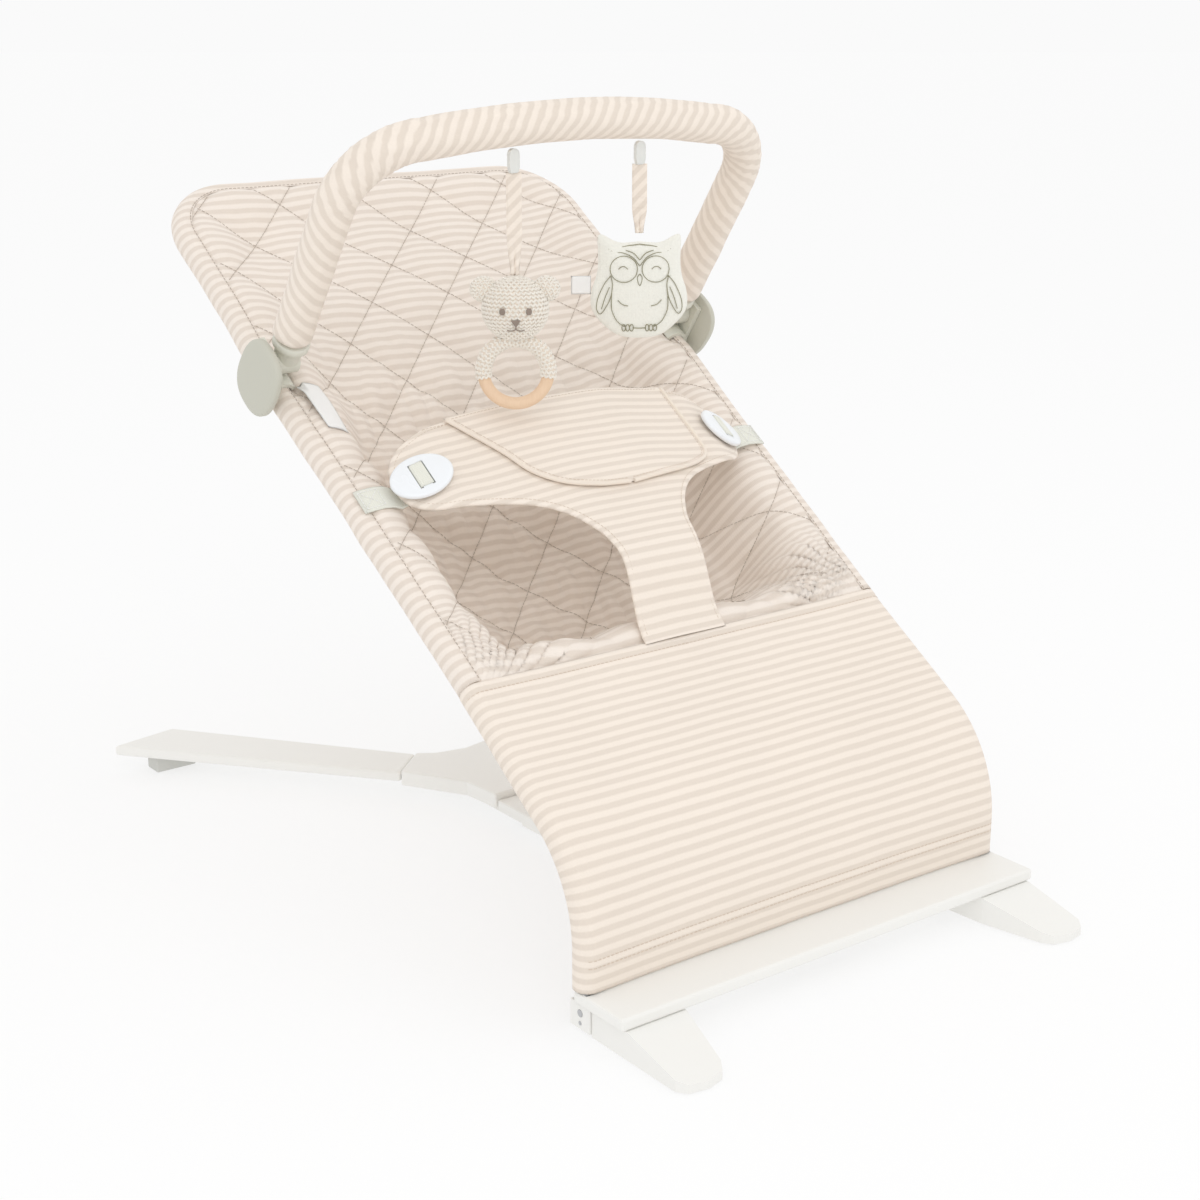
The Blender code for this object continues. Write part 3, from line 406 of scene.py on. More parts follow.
def moulded(name, colour, rough=0.45, grain=1400.0, depth=0.00004, coat=0.0, spread=0.03, **more):
    """Moulded plastic or powder coat: a fine grain in height, tone and gloss."""
    sh = Shader(name, Roughness=rough, Coat_Weight=coat, **more)
    place = sh.place()
    fine = sh.noise(place, grain, 2.0)
    wide = sh.noise(place, 16.0, 3.0)
    low = tuple(c * (1 - spread) for c in colour[:3]) + (1.0,)
    share = sh.math("ADD", sh.math("MULTIPLY", wide, 0.7), sh.math("MULTIPLY", fine, 0.3))
    return sh.done(sh.mix(share, low, colour), sh.math("MULTIPLY_ADD", wide, 0.14, rough - 0.07),
                   sh.bump(fine, depth, 0.5))


def metal(name, colour, rough):
    sh = Shader(name, Roughness=rough, Metallic=1.0)
    fine = sh.noise(sh.place(), 900.0, 3.0)
    low = tuple(c * 0.88 for c in colour[:3]) + (1.0,)
    return sh.done(sh.mix(fine, low, colour), sh.math("MULTIPLY_ADD", fine, 0.2, rough - 0.1),
                   sh.bump(fine, 0.00003, 0.4))


def wood(name):
    sh = Shader(name, Roughness=0.5, Specular_IOR_Level=0.35)
    place = sh.place()
    stretched = sh.node("ShaderNodeMapping", {"Vector": place, "Scale": (14.0, 14.0, 1.6)}).outputs[0]
    grain = sh.noise(stretched, 40.0, 6.0, 0.6)
    pores = sh.noise(stretched, 260.0, 2.0)
    share = sh.math("ADD", sh.math("MULTIPLY", grain, 0.8), sh.math("MULTIPLY", pores, 0.25))
    return sh.done(sh.mix(share, srgb(241, 214, 186), srgb(222, 190, 158)),
                   sh.math("MULTIPLY_ADD", pores, 0.2, 0.42), sh.bump(pores, 0.00008, 0.5))


M = {
    "front": cloth_material("striped_cotton"),
    "quilt": cloth_material("quilted_cotton", pitch=0.0097, contrast=1.0, light=srgb(246, 236, 226),
                            dark=srgb(232, 220, 208)),
    "harness": cloth_material("harness_cotton"),
    "bias": cloth_material("bias_cotton", pitch=0.0104, turn=math.radians(33)),
    "ribbon": cloth_material("ribbon_cotton", pitch=0.0080, turn=math.radians(45)),
    "binding": plain_cloth("binding_cotton", srgb(246, 234, 220)),
    # the seam thread is grey-brown, darker than the topstitch thread: partly the thread's own tone, partly
    # painted crease shade along the quilt seams
    "thread": plain_cloth("seam_thread_crease_shade", srgb(200, 188, 175), weave=0.0004, spread=0.15),
    "pale_thread": plain_cloth("topstitch_thread", srgb(226, 210, 193), weave=0.0004, spread=0.12),
    "webbing": plain_cloth("webbing", srgb(241, 241, 230), weave=0.0018, depth=0.0006, spread=0.10),
    "tag": plain_cloth("tag_ribbon", srgb(253, 252, 250), weave=0.0007),
    "plush": plain_cloth("sage_plush", srgb(250, 249, 240), weave=0.0012, depth=0.0006, sheen=0.4),
    "olive": plain_cloth("olive_thread", srgb(168, 163, 134), weave=0.0005, spread=0.2),
    "crochet": plain_cloth("crochet_yarn", srgb(255, 249, 239), weave=0.0007, depth=0.0004,
                           spread=0.12),
    # the second crochet colour is the same yarn darkened, for the cores seen between the stitches; the
    # darkening is painted shade in the gaps
    "crochet_core_shade": plain_cloth("crochet_core_painted_shade", srgb(243, 230, 215), weave=0.0009),
    "brown": plain_cloth("face_thread", srgb(172, 156, 144), weave=0.0006, spread=0.2),
    "beech": wood("beech"),
    "paint": moulded("white_paint", srgb(240, 239, 235), rough=0.42, spread=0.02),
    "cap": moulded("sage_cap", srgb(199, 198, 185), rough=0.5),
    "collar": moulded("sage_collar", srgb(222, 221, 209), rough=0.5),
    "toggle": moulded("toggle_plastic", srgb(240, 243, 246), rough=0.28, coat=0.3),
    "clear": moulded("translucent_plastic", srgb(243, 244, 240), rough=0.3, Transmission_Weight=0.25),
    "rubber": moulded("grip_rubber", srgb(205, 205, 200), rough=0.85, grain=600.0, depth=0.0001),
    "steel": metal("satin_steel", srgb(200, 201, 203), 0.35),
}


# ---------------------------------------------------------------- quilted seat and head rest
TUBE_R_COVERED = 0.0008          # where the quilt's edge starts, inward of a tube's centre
CORNER_S = S_HEAD - HEAD_CORNER_R
SEAM_A, SEAM_B = (0.428, 0.0825), (0.463, 0.086)   # diamond seams: s - x and s + x, first and pitch
CLAMP_S = 0.352
QUILT_HALF, PUFF = 0.0018, 0.0050


def inset(x, s):
    """Distance in the seat's plane from the tube line, inward."""
    wide = tube_x(min(s, S_SPLICE))
    if s > CORNER_S and abs(x) > wide - HEAD_CORNER_R:
        return HEAD_CORNER_R - math.hypot(abs(x) - wide + HEAD_CORNER_R, s - CORNER_S)
    return min(wide - abs(x), S_HEAD - s)


def cover_depth(x, s):
    """How far the cover hangs behind the plane of the tubes."""
    half = tube_x(min(s, S_SPLICE)) - 0.0116
    across = max(0.0, 1 - min(1.0, abs(x / half)) ** 2.6) ** 0.75
    settle = smooth((half - abs(x)) / 0.055)
    front = smooth((s - 0.012) / 0.078)
    rear = 1 - smooth((s - 0.10) / 0.38)
    crown = 0.006 * math.sin(math.pi / 2 * min(1.0, inset(x, s) / 0.16))
    lip = 0.005 * math.exp(-((s - 0.016) / 0.012) ** 2)
    return (POUCH_DEPTH - 0.004) * across * settle * front * rear + crown * smooth(s / 0.1) - lip


def quilt_point(x, s, lift=0.0):
    """A point in the middle of the quilt's thickness, with its folds."""
    a = inset(x, s)
    edge = smooth((a - 0.008) / 0.056)
    off = (1 - edge) * 0.0098 - edge * cover_depth(x, s)
    held = clamp_hold(s)
    if held > 0.01 and a < 0.014:
        off += held * (min(off, math.sqrt(max(0.0, 0.0092 ** 2 - min(a, 0.0085) ** 2))) - off)
    wall = edge * smooth(s / 0.05) * (1 - smooth((s - 0.30) / 0.15))
    gather = 1.5 * math.exp(-((abs(x) - 0.15) / 0.05) ** 2 - ((s - 0.035) / 0.035) ** 2)
    crumple = wobble((x, s, 0.3), 16) * 0.0050 + wobble((1.6 * x, 0.7 * s, 0.3), 46) * 0.0042
    folds = 0.0016 * gather * math.sin(150 * math.atan2(s + 0.03, 0.22 - abs(x)) / 2.4)
    return seat_point(x, s, off + wall * crumple + folds + lift)


def clamp_hold(s):
    """1 where a clamp presses the cover onto the tube, 0 away from it."""
    return math.exp(-((s - CLAMP_S) / 0.026) ** 6)


def seam_distance(x, s):
    """Distance in the cloth from the nearest seam each way."""
    out = []
    for value, (first, pitch) in ((s - x, SEAM_A), (s + x, SEAM_B)):
        n = (value - first) / pitch
        out.append(abs(n - round(n)) * pitch / math.sqrt(2))
    return out


def puff(x, s):
    """Height of the wadding between the seams, from 0 on a seam to 1 in a diamond's middle."""
    rise = 1.0
    for d in seam_distance(x, s):
        rise *= math.sin(math.pi / 2 * min(1.0, d / 0.025)) ** 0.72
    return rise


def quilt_plan(columns, rows):
    """Plan points (x, s) of a patch with its upper corners in the middle of the head's corners."""
    edge = TUBE_R_COVERED
    turn = HEAD_CORNER_R - edge
    wide = tube_x(S_SPLICE)

    def corner(first, last):
        return [(wide - HEAD_CORNER_R + turn * math.cos(a), CORNER_S + turn * math.sin(a))
                for a in np.linspace(first, last, 8)]

    side = [(tube_x(min(s, S_SPLICE)) - edge, s) for s in np.linspace(-0.004, CORNER_S, 60)]
    side += corner(0.06, math.pi / 4)
    top = corner(math.pi / 4, math.pi / 2)
    top += [(-x, s) for x, s in reversed(top)]
    top.reverse()

    def resample(line, count):
        line = np.array(line)
        run = run_along(line)
        want = np.linspace(0, run[-1], count)
        return np.stack([np.interp(want, run, line[:, 0]), np.interp(want, run, line[:, 1])], axis=1)

    right = resample(side, rows)
    left = right * (-1, 1)
    upper = resample(top, columns)
    lower = resample([(-right[0][0], right[0][1]), tuple(right[0])], columns)
    u = np.linspace(0, 1, columns)[None, :, None]
    v = np.linspace(0, 1, rows)[:, None, None]
    plan = (1 - u) * left[:, None] + u * right[:, None] + (1 - v) * lower[None] + v * upper[None]
    plan -= ((1 - u) * (1 - v) * left[0] + u * (1 - v) * right[0] + (1 - u) * v * left[-1]
             + u * v * right[-1])
    return plan


def make_quilt():
    columns, rows = ((190, 236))
    plan = quilt_plan(columns, rows)
    mid = np.array([[tuple(quilt_point(x, s)) for x, s in row] for row in plan])
    n = grid_normals(mid)
    run, plan_s = run_along(mid[:, columns // 2]), plan[:, columns // 2, 1]
    uv, top, under = [], [], []
    for i in range(rows):
        uv_row, up, down = [], [], []
        for j in range(columns):
            x, s = plan[i, j]
            a = inset(x, s) - TUBE_R_COVERED
            round_in = rounding(min(a, s + 0.004), 0.010)
            held = 1 - 0.85 * clamp_hold(s) * (1 - smooth((a - 0.010) / 0.014))
            swell = puff(x, s) * smooth((a + 0.002) / 0.012) * smooth((s + 0.004) / 0.012)
            ripple = wobble((x, s, 1.7), 60) * 0.0006 * swell
            half = QUILT_HALF * round_in * held
            up.append(mid[i, j] + n[i, j] * (half + (PUFF * swell + ripple) * held))
            down.append(mid[i, j] - n[i, j] * (half + 0.5 * PUFF * swell * held))
            uv_row.append((x, float(np.interp(s, plan_s, run))))
        uv.append(uv_row)
        top.append(up)
        under.append(down)
    build = Build()
    build.grid(top, uv)
    build.grid(under, uv, flip=True)
    quilt_seams(build)
    obj = build.object("seat_quilt", [M["quilt"], M["thread"]], "seat", "quilt_fabric", merge=1e-6)
    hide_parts("seat_pouch", "back_panel")
    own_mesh(obj)


def surface(x, s):
    """Point and normal of the quilt's upper face on a seam."""
    e = 0.002
    p = quilt_point(x, s)
    across = quilt_point(x + e, s) - quilt_point(x - e, s)
    n = across.cross(quilt_point(x, s + e) - quilt_point(x, s - e)).normalized()
    return p + n * (QUILT_HALF + 0.0007), n


def quilt_seams(build):
    for (first, pitch), sign in ((SEAM_A, 1), (SEAM_B, -1)):
        for k in range(-9, 9):
            line, normals = [], []
            for x in sign * np.arange(-0.21, 0.2101, 0.003):
                s = first + pitch * k + sign * x
                if 0.024 < s < S_HEAD and inset(x, s) > TUBE_R_COVERED + 0.004:
                    p, n = surface(x, s)
                    line.append(p)
                    normals.append(n)
            if len(line) > 4:
                # the quilting stitches take the darker seam thread, whose colour carries part of the creases'
                # shade as painted shade
                stitches(build, line, normals, 1, 0.0032, 0.0010, 0.00030)


# ---------------------------------------------------------------- cover round the tubes
WRAP_R, WRAP_STEPS = 0.0112, 38
WRAP_TOP, WRAP_END = 0.0587, 0.0635    # along the section: top of the tube, edge on the quilt


def edge_section(held):
    """Section round a tube as (inward, off) pairs, from its inner side round the outside."""
    section = []
    for a in np.radians(np.linspace(28, -268, WRAP_STEPS)):
        rise = 0.0016 * (1 - held) * smooth(math.sin(a))
        section.append((WRAP_R * math.cos(a), WRAP_R * math.sin(a) + rise))
    for a in np.linspace(0.0008, 0.0046, 6):
        section.append((a, (0.0128 - 0.1 * a) * (1 - held) + held * math.sqrt(0.0113 ** 2 - a * a)))
    return section


def two_layers(build, outer, inner, uv):
    """Both faces of a sheet and the four narrow borders between them."""
    build.grid(outer, uv)
    build.grid(inner, uv, flip=True)
    for side in (0, -1):
        build.grid([[a[side], b[side]] for a, b in zip(outer, inner)], [[c[side]] * 2 for c in uv])
        build.grid([outer[side], inner[side]], [uv[side]] * 2)


def make_cover_edge():
    wide = tube_x(S_SPLICE)
    line = [(tube_x(min(s, S_SPLICE)), s, (-1.0, 0.0)) for s in np.arange(0.0008, CORNER_S, 0.004)]
    line += [(wide - HEAD_CORNER_R + HEAD_CORNER_R * math.cos(a),
              CORNER_S + HEAD_CORNER_R * math.sin(a), (-math.cos(a), -math.sin(a)))
             for a in np.linspace(0, math.pi / 2, 26)]
    line += [(x, S_HEAD, (0.0, -1.0)) for x in np.arange(wide - HEAD_CORNER_R - 0.004, 0, -0.004)]
    line += [(-x, s, (-inward[0], inward[1])) for x, s, inward in reversed(line)]
    outer, inner, uv, seam, seam_n = [], [], [], [], []
    for x, s, inward in line:
        held = clamp_hold(s)
        base = seat_point(x, s)
        section = edge_section(held)
        across = (seat_point(x + 0.01 * inward[0], s + 0.01 * inward[1]) - base).normalized()
        row, low, coords = [], [], []
        for k, ((a, off), spent) in enumerate(zip(section, run_along(section))):
            p = base + across * a + OUT * off
            ease = wobble(p, 30) * 0.0005 * (1 - held)
            thick = 0.0011 * rounding(min(spent, WRAP_END - spent), 0.0012)
            n = (p - base if k < WRAP_STEPS else OUT + across * 0.25).normalized()
            row.append(p + n * ease)
            low.append(p + n * (ease - max(thick, 0.0002)))
            from_top = float(spent) - WRAP_TOP
            coords.append((x + inward[0] * from_top, s + inward[1] * from_top))
            if k == len(section) - 3:
                seam.append(p + n * (ease + 0.0001))
                seam_n.append(n)
        outer.append(row)
        inner.append(low)
        uv.append(coords)
    build = Build()
    two_layers(build, outer, inner, uv)
    stitches(build, seam, seam_n, 1, 0.0030, 0.0013, 0.00036)
    obj = build.object("cover_edge", [M["quilt"], M["thread"]], "seat", "quilt_fabric", merge=1e-6)
    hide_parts("side_sleeve_left", "side_sleeve_right", "head_sleeve")


# ---------------------------------------------------------------- front cover
FRONT_LOW = S_BEND_START - (FLEX.z - PLATE_TOP - 0.0014)


def front_section(s):
    """(x, off) points of the front cover's section at s, from the left tube's back."""
    wide = tube_x(s)
    left = [(-wide + 0.0114 * math.cos(a), 0.0114 * math.sin(a))
            for a in np.radians(np.linspace(-60, -262, 22))]
    round_bend = smooth((s - S_BEND_START + 0.03) / (S_BEND_END - S_BEND_START + 0.05))
    hollow = 0.0062 * math.sin(math.pi * round_bend) + 0.0024
    middle = []
    for x in np.linspace(-wide + 0.002, 0, 50)[1:]:
        sag = 1 - abs(x / wide) ** 2.2
        middle.append((x, 0.0114 - hollow * sag + wobble((x, s, 0.9), 9) * 0.0011 * sag))
    half = left + middle
    return half + [(-x, off) for x, off in reversed(half[:-1])]


def make_front_cover():
    top = 0.0012
    stations = np.linspace(FRONT_LOW, top, 130)
    build = Build()
    outer, inner, uv = [], [], []
    for s in stations:
        section = front_section(s)
        hem = smooth((s - top + 0.0085) / 0.0010)
        lip = rounding(top - s, 0.0016)
        wide = tube_x(s)
        row, low, coords = [], [], []
        for (x, off), spent in zip(section, run_along(section)):
            beside = abs(x) > wide - 0.002
            n2 = Vector((x - math.copysign(wide, x), off)) if beside else Vector((0.0, 1.0))
            n2.normalize()
            grow = 0.0009 * hem * (max(0.0, n2.y) if beside else 1)
            up = max(0.00015, (0.0001 + grow) * lip) + (lip - 1) * 0.0009 * hem
            row.append(seat_point(x + n2.x * up, s, off + n2.y * up))
            down = 0.0013 * lip + 0.0002
            low.append(seat_point(x - n2.x * down, s, off - n2.y * down))
            coords.append((spent, s))
        outer.append(row)
        inner.append(low)
        uv.append(coords)
    two_layers(build, outer, inner, uv)

    def line_at(s, first, last):
        i = int(np.argmin(abs(stations - s)))
        pts = outer[i][first:last]
        e = (outer[i][45] - outer[i - 1][45]).normalized()
        n = Vector((1, 0, 0)).cross(e)
        return pts, [n if n.dot(OUT) > 0 or n.y < 0 else -n] * len(pts)

    count = len(outer[0])
    stitches(build, *line_at(top - 0.0098, 12, count - 12), 1, 0.0030, 0.0012, 0.0003, lift=0.0002)
    for s in (FRONT_LOW + 0.020, FRONT_LOW + 0.026):
        stitches(build, *line_at(s, 18, count - 18), 1, 0.0030, 0.0011, 0.0003, lift=0.0001)
    obj = build.object("front_cover", [M["front"], M["pale_thread"]], None, "stripe_fabric",
                       merge=1e-6)
    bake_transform(obj)
    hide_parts("front_panel", "front_hem_band")
    width = float(run_along(front_section(S_BEND_START))[-1])


# ---------------------------------------------------------------- harness
HARNESS_EDGE = ((-0.002, 0.043), (0.025, 0.042), (0.060, 0.041), (0.085, 0.044), (0.105, 0.053),
                (0.122, 0.066), (0.136, 0.085), (0.146, 0.110), (0.1525, 0.136), (0.158, 0.154),
                (0.164, 0.1655), (0.172, 0.1740), (0.183, 0.1800), (0.196, 0.1820), (0.212, 0.1800),
                (0.224, 0.1735), (0.2325, 0.163), (0.238, 0.150), (0.2425, 0.134), (0.2450, 0.110))


def spline(pairs, t):
    """Monotone smooth curve through (t, value) pairs."""
    ts = [p[0] for p in pairs]
    vs = [p[1] for p in pairs]
    if t <= ts[0]:
        return vs[0]
    if t >= ts[-1]:
        return vs[-1]
    i = int(np.searchsorted(ts, t)) - 1
    slopes = []
    for k in (i, i + 1):
        if k in (0, len(ts) - 1):
            m = k if k == 0 else k - 1
            slopes.append((vs[m + 1] - vs[m]) / (ts[m + 1] - ts[m]))
        else:
            a = (vs[k] - vs[k - 1]) / (ts[k] - ts[k - 1])
            b = (vs[k + 1] - vs[k]) / (ts[k + 1] - ts[k])
            slopes.append(0.0 if a * b <= 0 else 2 * a * b / (a + b))
    h = ts[i + 1] - ts[i]
    f = (t - ts[i]) / h
    f2, f3 = f * f, f * f * f
    return ((2 * f3 - 3 * f2 + 1) * vs[i] + (f3 - 2 * f2 + f) * h * slopes[0]
            + (3 * f2 - 2 * f3) * vs[i + 1] + (f3 - f2) * h * slopes[1])


def slope(x):
    """How steeply an end of the harness hangs outwards."""
    return 0.40 if x < 0 else 0.52


def droop(x):
    """How far the harness has dropped at x, rounded where its ends begin."""
    past = abs(x) - 0.138
    return slope(x) * (0.0 if past < -0.012 else (past + 0.012) ** 2 / 0.048 if past < 0.012 else past)


def harness_off(x, s):
    """How far the harness stands in front of the tubes' plane."""
    rise = smooth((s + 0.002) / 0.075)
    belly = 0.012 * (1 - smooth((abs(x) - 0.03) / 0.11)) * smooth(s / 0.08)
    return 0.0115 + (0.0375 - 0.0115) * rise + belly - droop(x)


def on_harness(x, s, lift):
    return seat_point(x, s, harness_off(x, s) + lift + wobble((x, s, 2.3), 22) * 0.0012)


def pad_sheet(name, rows, left, right, lift, thick, seam_in, columns=90):
    """A flat stuffed shape over the belly, between the curves left(s) and right(s)."""
    uv = []
    for s in rows:
        x0, x1 = left(s), right(s)
        uv.append([(x0 + (x1 - x0) * k / (columns - 1), s) for k in range(columns)])
    mid = [[on_harness(x, s, lift) for x, s in row] for row in uv]
    low, high = rows[0], rows[-1]

    def lean(curve, s):
        e = 0.0015
        return (curve(min(high, s + e)) - curve(max(low, s - e))) / (2 * e)

    def edges(i, j):
        x, s = uv[i][j]
        return max(0.0, min((x - left(s)) / math.hypot(1, lean(left, s)),
                            (right(s) - x) / math.hypot(1, lean(right, s)),
                            s - low + 0.0001, high - s + 0.0001))

    build = Build()
    padded_grid(build, mid, uv, thick, 0.0035, edges)
    lines = []
    for curve, sign in ((left, 1), (right, -1)):
        line = []
        for s in rows:
            size = math.hypot(1, lean(curve, s))
            x, t = curve(s) + sign * seam_in / size, s - sign * seam_in * lean(curve, s) / size
            if low + seam_in < t < high - seam_in:
                line.append((x, t))
        lines.append(line)
    top = high - seam_in
    lines.append([(x, top) for x in np.arange(left(top) + seam_in, right(top) - seam_in, 0.004)])
    for line in lines:
        stitches(build, [on_harness(x, s, lift + thick / 2) for x, s in line], [OUT] * len(line),
                 1, 0.0026, 0.0010, 0.00026)
    return build.object(name, [M["harness"], M["pale_thread"]], "harness", "stripe_fabric",
                        merge=1e-6)


def make_harness():
    rows = [-0.002 + 0.247 * float(1 - (1 - v) ** 1.5) for v in np.linspace(0, 1, 110)]
    harness = pad_sheet("harness_pad", rows, lambda s: -spline(HARNESS_EDGE, s),
                        lambda s: spline(HARNESS_EDGE, s), 0.0, 0.0042, 0.0045, columns=130)
    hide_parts("harness")
    flap_left = ((0.1350, 0.010), (0.1375, -0.018), (0.1450, -0.045), (0.1570, -0.062),
                 (0.1710, -0.074), (0.1900, -0.083), (0.2100, -0.094), (0.2300, -0.106),
                 (0.2455, -0.116))
    flap_right = ((0.1350, 0.014), (0.1380, 0.045), (0.1430, 0.074), (0.1500, 0.098),
                  (0.1570, 0.112), (0.1650, 0.1165), (0.1800, 0.1175), (0.2455, 0.1180))
    rows = [0.135 + 0.1105 * float(v ** 1.6) for v in np.linspace(0, 1, 80)]
    flap = pad_sheet("harness_flap_pad", rows, lambda s: spline(flap_left, s),
                     lambda s: spline(flap_right, s), 0.0042, 0.0028, 0.0035)
    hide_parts("harness_flap")
    build = Build()
    for curve in (flap_left, flap_right):
        tube(build, [on_harness(spline(curve, s), s, 0.0052) for s in rows[:-1]], 0.0019, 10)
    build.object("harness_flap_fold", [M["binding"]], "harness", "stripe_fabric")
    build = Build()
    for sign in (-1, 1):
        line = [seat_point(sign * (0.140 - 0.0012 * k), 0.182 + 0.0016 * k,
                           harness_off(0.14, 0.19) + 0.0024) for k in range(14)]
        stitches(build, line, [OUT] * len(line), 0, 0.0012, 0.0001, 0.0003)
    build.object("buttonhole_stitches", [M["thread"]], "harness", "stripe_fabric")


# ---------------------------------------------------------------- toggles and webbing
def apply_modifiers(obj):
    """Keeps the mesh that the modifiers give."""
    graph = bpy.context.evaluated_depsgraph_get()
    mesh = bpy.data.meshes.new_from_object(obj.evaluated_get(graph))
    obj.modifiers.clear()
    obj.data = mesh


def make_toggles():
    for side, sign in SIDES.items():
        low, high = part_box(f"toggle_{side}")
        middle = (Vector(low) + Vector(high)) / 2
        cx, cs = middle.x - sign * 0.011, (middle - HEM).dot(ALONG) - 0.004
        off0 = 0.0425
        tilt = math.atan(slope(sign))
        drop = droop(cx)

        def on_toggle(u, v, w):
            """A point of the tilted toggle: outward, along the seat and up from its back face."""
            across = Vector((sign * math.cos(tilt), 0, 0)) - math.sin(tilt) * OUT
            up = Vector((sign * math.sin(tilt), 0, 0)) + math.cos(tilt) * OUT
            return seat_point(cx, cs, off0 - drop) + across * u + ALONG * v + up * w

        build = Build()
        levels = ((0.0, 0.93), (0.0006, 0.975), (0.0016, 1.0), (0.0032, 1.0), (0.0042, 0.975), (0.0048, 0.93),
                  (0.0050, 0.86), (0.00515, 0.5), (0.0052, 0.05))
        points, uv = [], []
        for off, size in levels:
            ring = [(0.0275 * size * math.cos(a), 0.021 * size * math.sin(a))
                    for a in np.linspace(0, 2 * math.pi, 73)]
            points.append([on_toggle(u, v, off) for u, v in ring[:-1]])
            uv.append(ring)
        build.grid(points, uv, wrap=True)
        build.caps(len(levels), 72, uv)
        obj = build.object(f"toggle_face_{side}", [M["toggle"]], None, "toggle_plastic")
        cutters = []
        for step in (-0.0055, 0.0055):
            section = [on_toggle(step + a, 0, b)
                       for a, b in ((-0.0013, -0.01), (0.0013, -0.01), (0.0013, 0.02), (-0.0013, 0.02))]
            verts = [p - ALONG * 0.013 for p in section] + [p + ALONG * 0.013 for p in section]
            block = Build()
            block.add(verts, [[0, 1, 2, 3], [7, 6, 5, 4]]
                      + [[k, k + 4, (k + 1) % 4 + 4, (k + 1) % 4] for k in range(4)])
            cutters.append(block.object(f"slot_cutter_{side}", []))
            mod = obj.modifiers.new("slot", "BOOLEAN")
            mod.operation, mod.solver, mod.object = "DIFFERENCE", "EXACT", cutters[-1]
        apply_modifiers(obj)
        for cutter in cutters:
            bpy.data.objects.remove(cutter, do_unlink=True)
        obj.data.shade_smooth()
        obj.data.set_sharp_from_angle(angle=math.radians(40))
        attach(obj, "seat")
        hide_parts(f"toggle_{side}")
        make_webbing(side, sign, cs, on_toggle)


def make_webbing(side, sign, s, on_toggle):
    """A strap from the side tube, through both slots of the toggle, with a short tail."""
    line = [(0.2150, 0.0148), (0.2070, 0.0166), (0.1970, 0.0176), (0.1880, 0.0165),
            (0.1790, 0.0125)]
    threaded = [(0.0105, -0.0095), (0.0064, -0.0080), (0.0055, -0.0050), (0.0055, 0.0040),
                (0.0051, 0.0054), (0.0040, 0.0057), (-0.0040, 0.0057), (-0.0051, 0.0054),
                (-0.0055, 0.0040), (-0.0055, -0.0050), (-0.0064, -0.0080), (-0.0100, -0.0095),
                (-0.0250, -0.0100)]
    middle = seat_point(0, s)
    for u, w in threaded:
        p = on_toggle(u, 0, w) - middle
        line.append((abs(p.x), p.dot(OUT)))
    half, rows, cols = 0.012, len(line), 13
    places = np.linspace(-half, half, cols)
    mid = [[seat_point(sign * x, s + c, off) for c in places] for x, off in line]
    uv = [[(run, c) for c in places] for run in run_along(line)]
    build = Build()
    padded_grid(build, mid, uv, 0.0013, 0.0008,
                lambda i, j: 0.0004 + min(half - abs(uv[i][j][1]), 0.001))
    borders = [((i, j), (i + 1, j)) for j in (0, cols - 1) for i in range(rows - 1)]
    borders += [((i, j), (i, j + 1)) for i in (0, rows - 1) for j in range(cols - 1)]
    for (i, j), (k, m) in borders:
        a, b = i * cols + j, k * cols + m
        build.faces.append([a, b, b + rows * cols, a + rows * cols])
        build.mats.append(0)
        build.uvs.extend([uv[i][j], uv[k][m], uv[k][m], uv[i][j]])
    a, b = Vector(line[1]), Vector(line[2])
    tilt = (b - a).normalized()

    def on_strap(t, c):
        p = a + tilt * t
        n = Vector((tilt.y, -tilt.x)) if tilt.y > 0 else Vector((-tilt.y, tilt.x))
        return seat_point(sign * (p.x + n.x * 0.0009), s + c, p.y + n.y * 0.0009)

    corners = [(-0.0060, -0.009), (0.0120, -0.009), (0.0120, 0.009), (-0.0060, 0.009)]
    n = (sign * Vector((1, 0, 0)) * tilt.y + OUT * -tilt.x).normalized()
    for p, q in [(0, 1), (1, 2), (2, 3), (3, 0), (0, 2), (1, 3)]:
        line = [on_strap(*[corners[p][m] + (corners[q][m] - corners[p][m]) * f for m in (0, 1)])
                for f in np.linspace(0, 1, 8)]
        stitches(build, line, [n] * 8, 1, 0.0022, 0.0010, 0.0003)
    obj = build.object(f"webbing_strap_{side}", [M["webbing"], M["tag"]], "seat", "webbing",
                       merge=1e-6)
    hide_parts(f"webbing_{side}")


# ---------------------------------------------------------------- toy bar and its clamps
BAR_S, BAR_OFF, BAR_X = 0.352, 0.026, 0.211
BAR_LEG, BAR_CORNER_R, BAR_CROWN, BAR_R = 0.163, 0.066, 0.012, 0.0175


def bar_point(x, height):
    return seat_point(x, BAR_S, BAR_OFF + height)


def bar_top(x):
    return BAR_LEG + BAR_CORNER_R + BAR_CROWN * (1 - (x / (BAR_X - BAR_CORNER_R)) ** 2)


def turned(build, profile, side, count):
    """A turned solid from (v, centre, radius) rows, in the plane of side and ALONG."""
    base = len(build.verts)
    points = [[centre + r * (math.cos(a) * side + math.sin(a) * ALONG)
               for a in np.linspace(0, 2 * math.pi, count + 1)[:-1]] for v, centre, r in profile]
    uv = [[(0.01 * a, v) for a in np.linspace(0, 6.28, count + 1)] for v, centre, r in profile]
    build.grid(points, uv, wrap=True)
    build.caps(len(profile), count, uv, base)


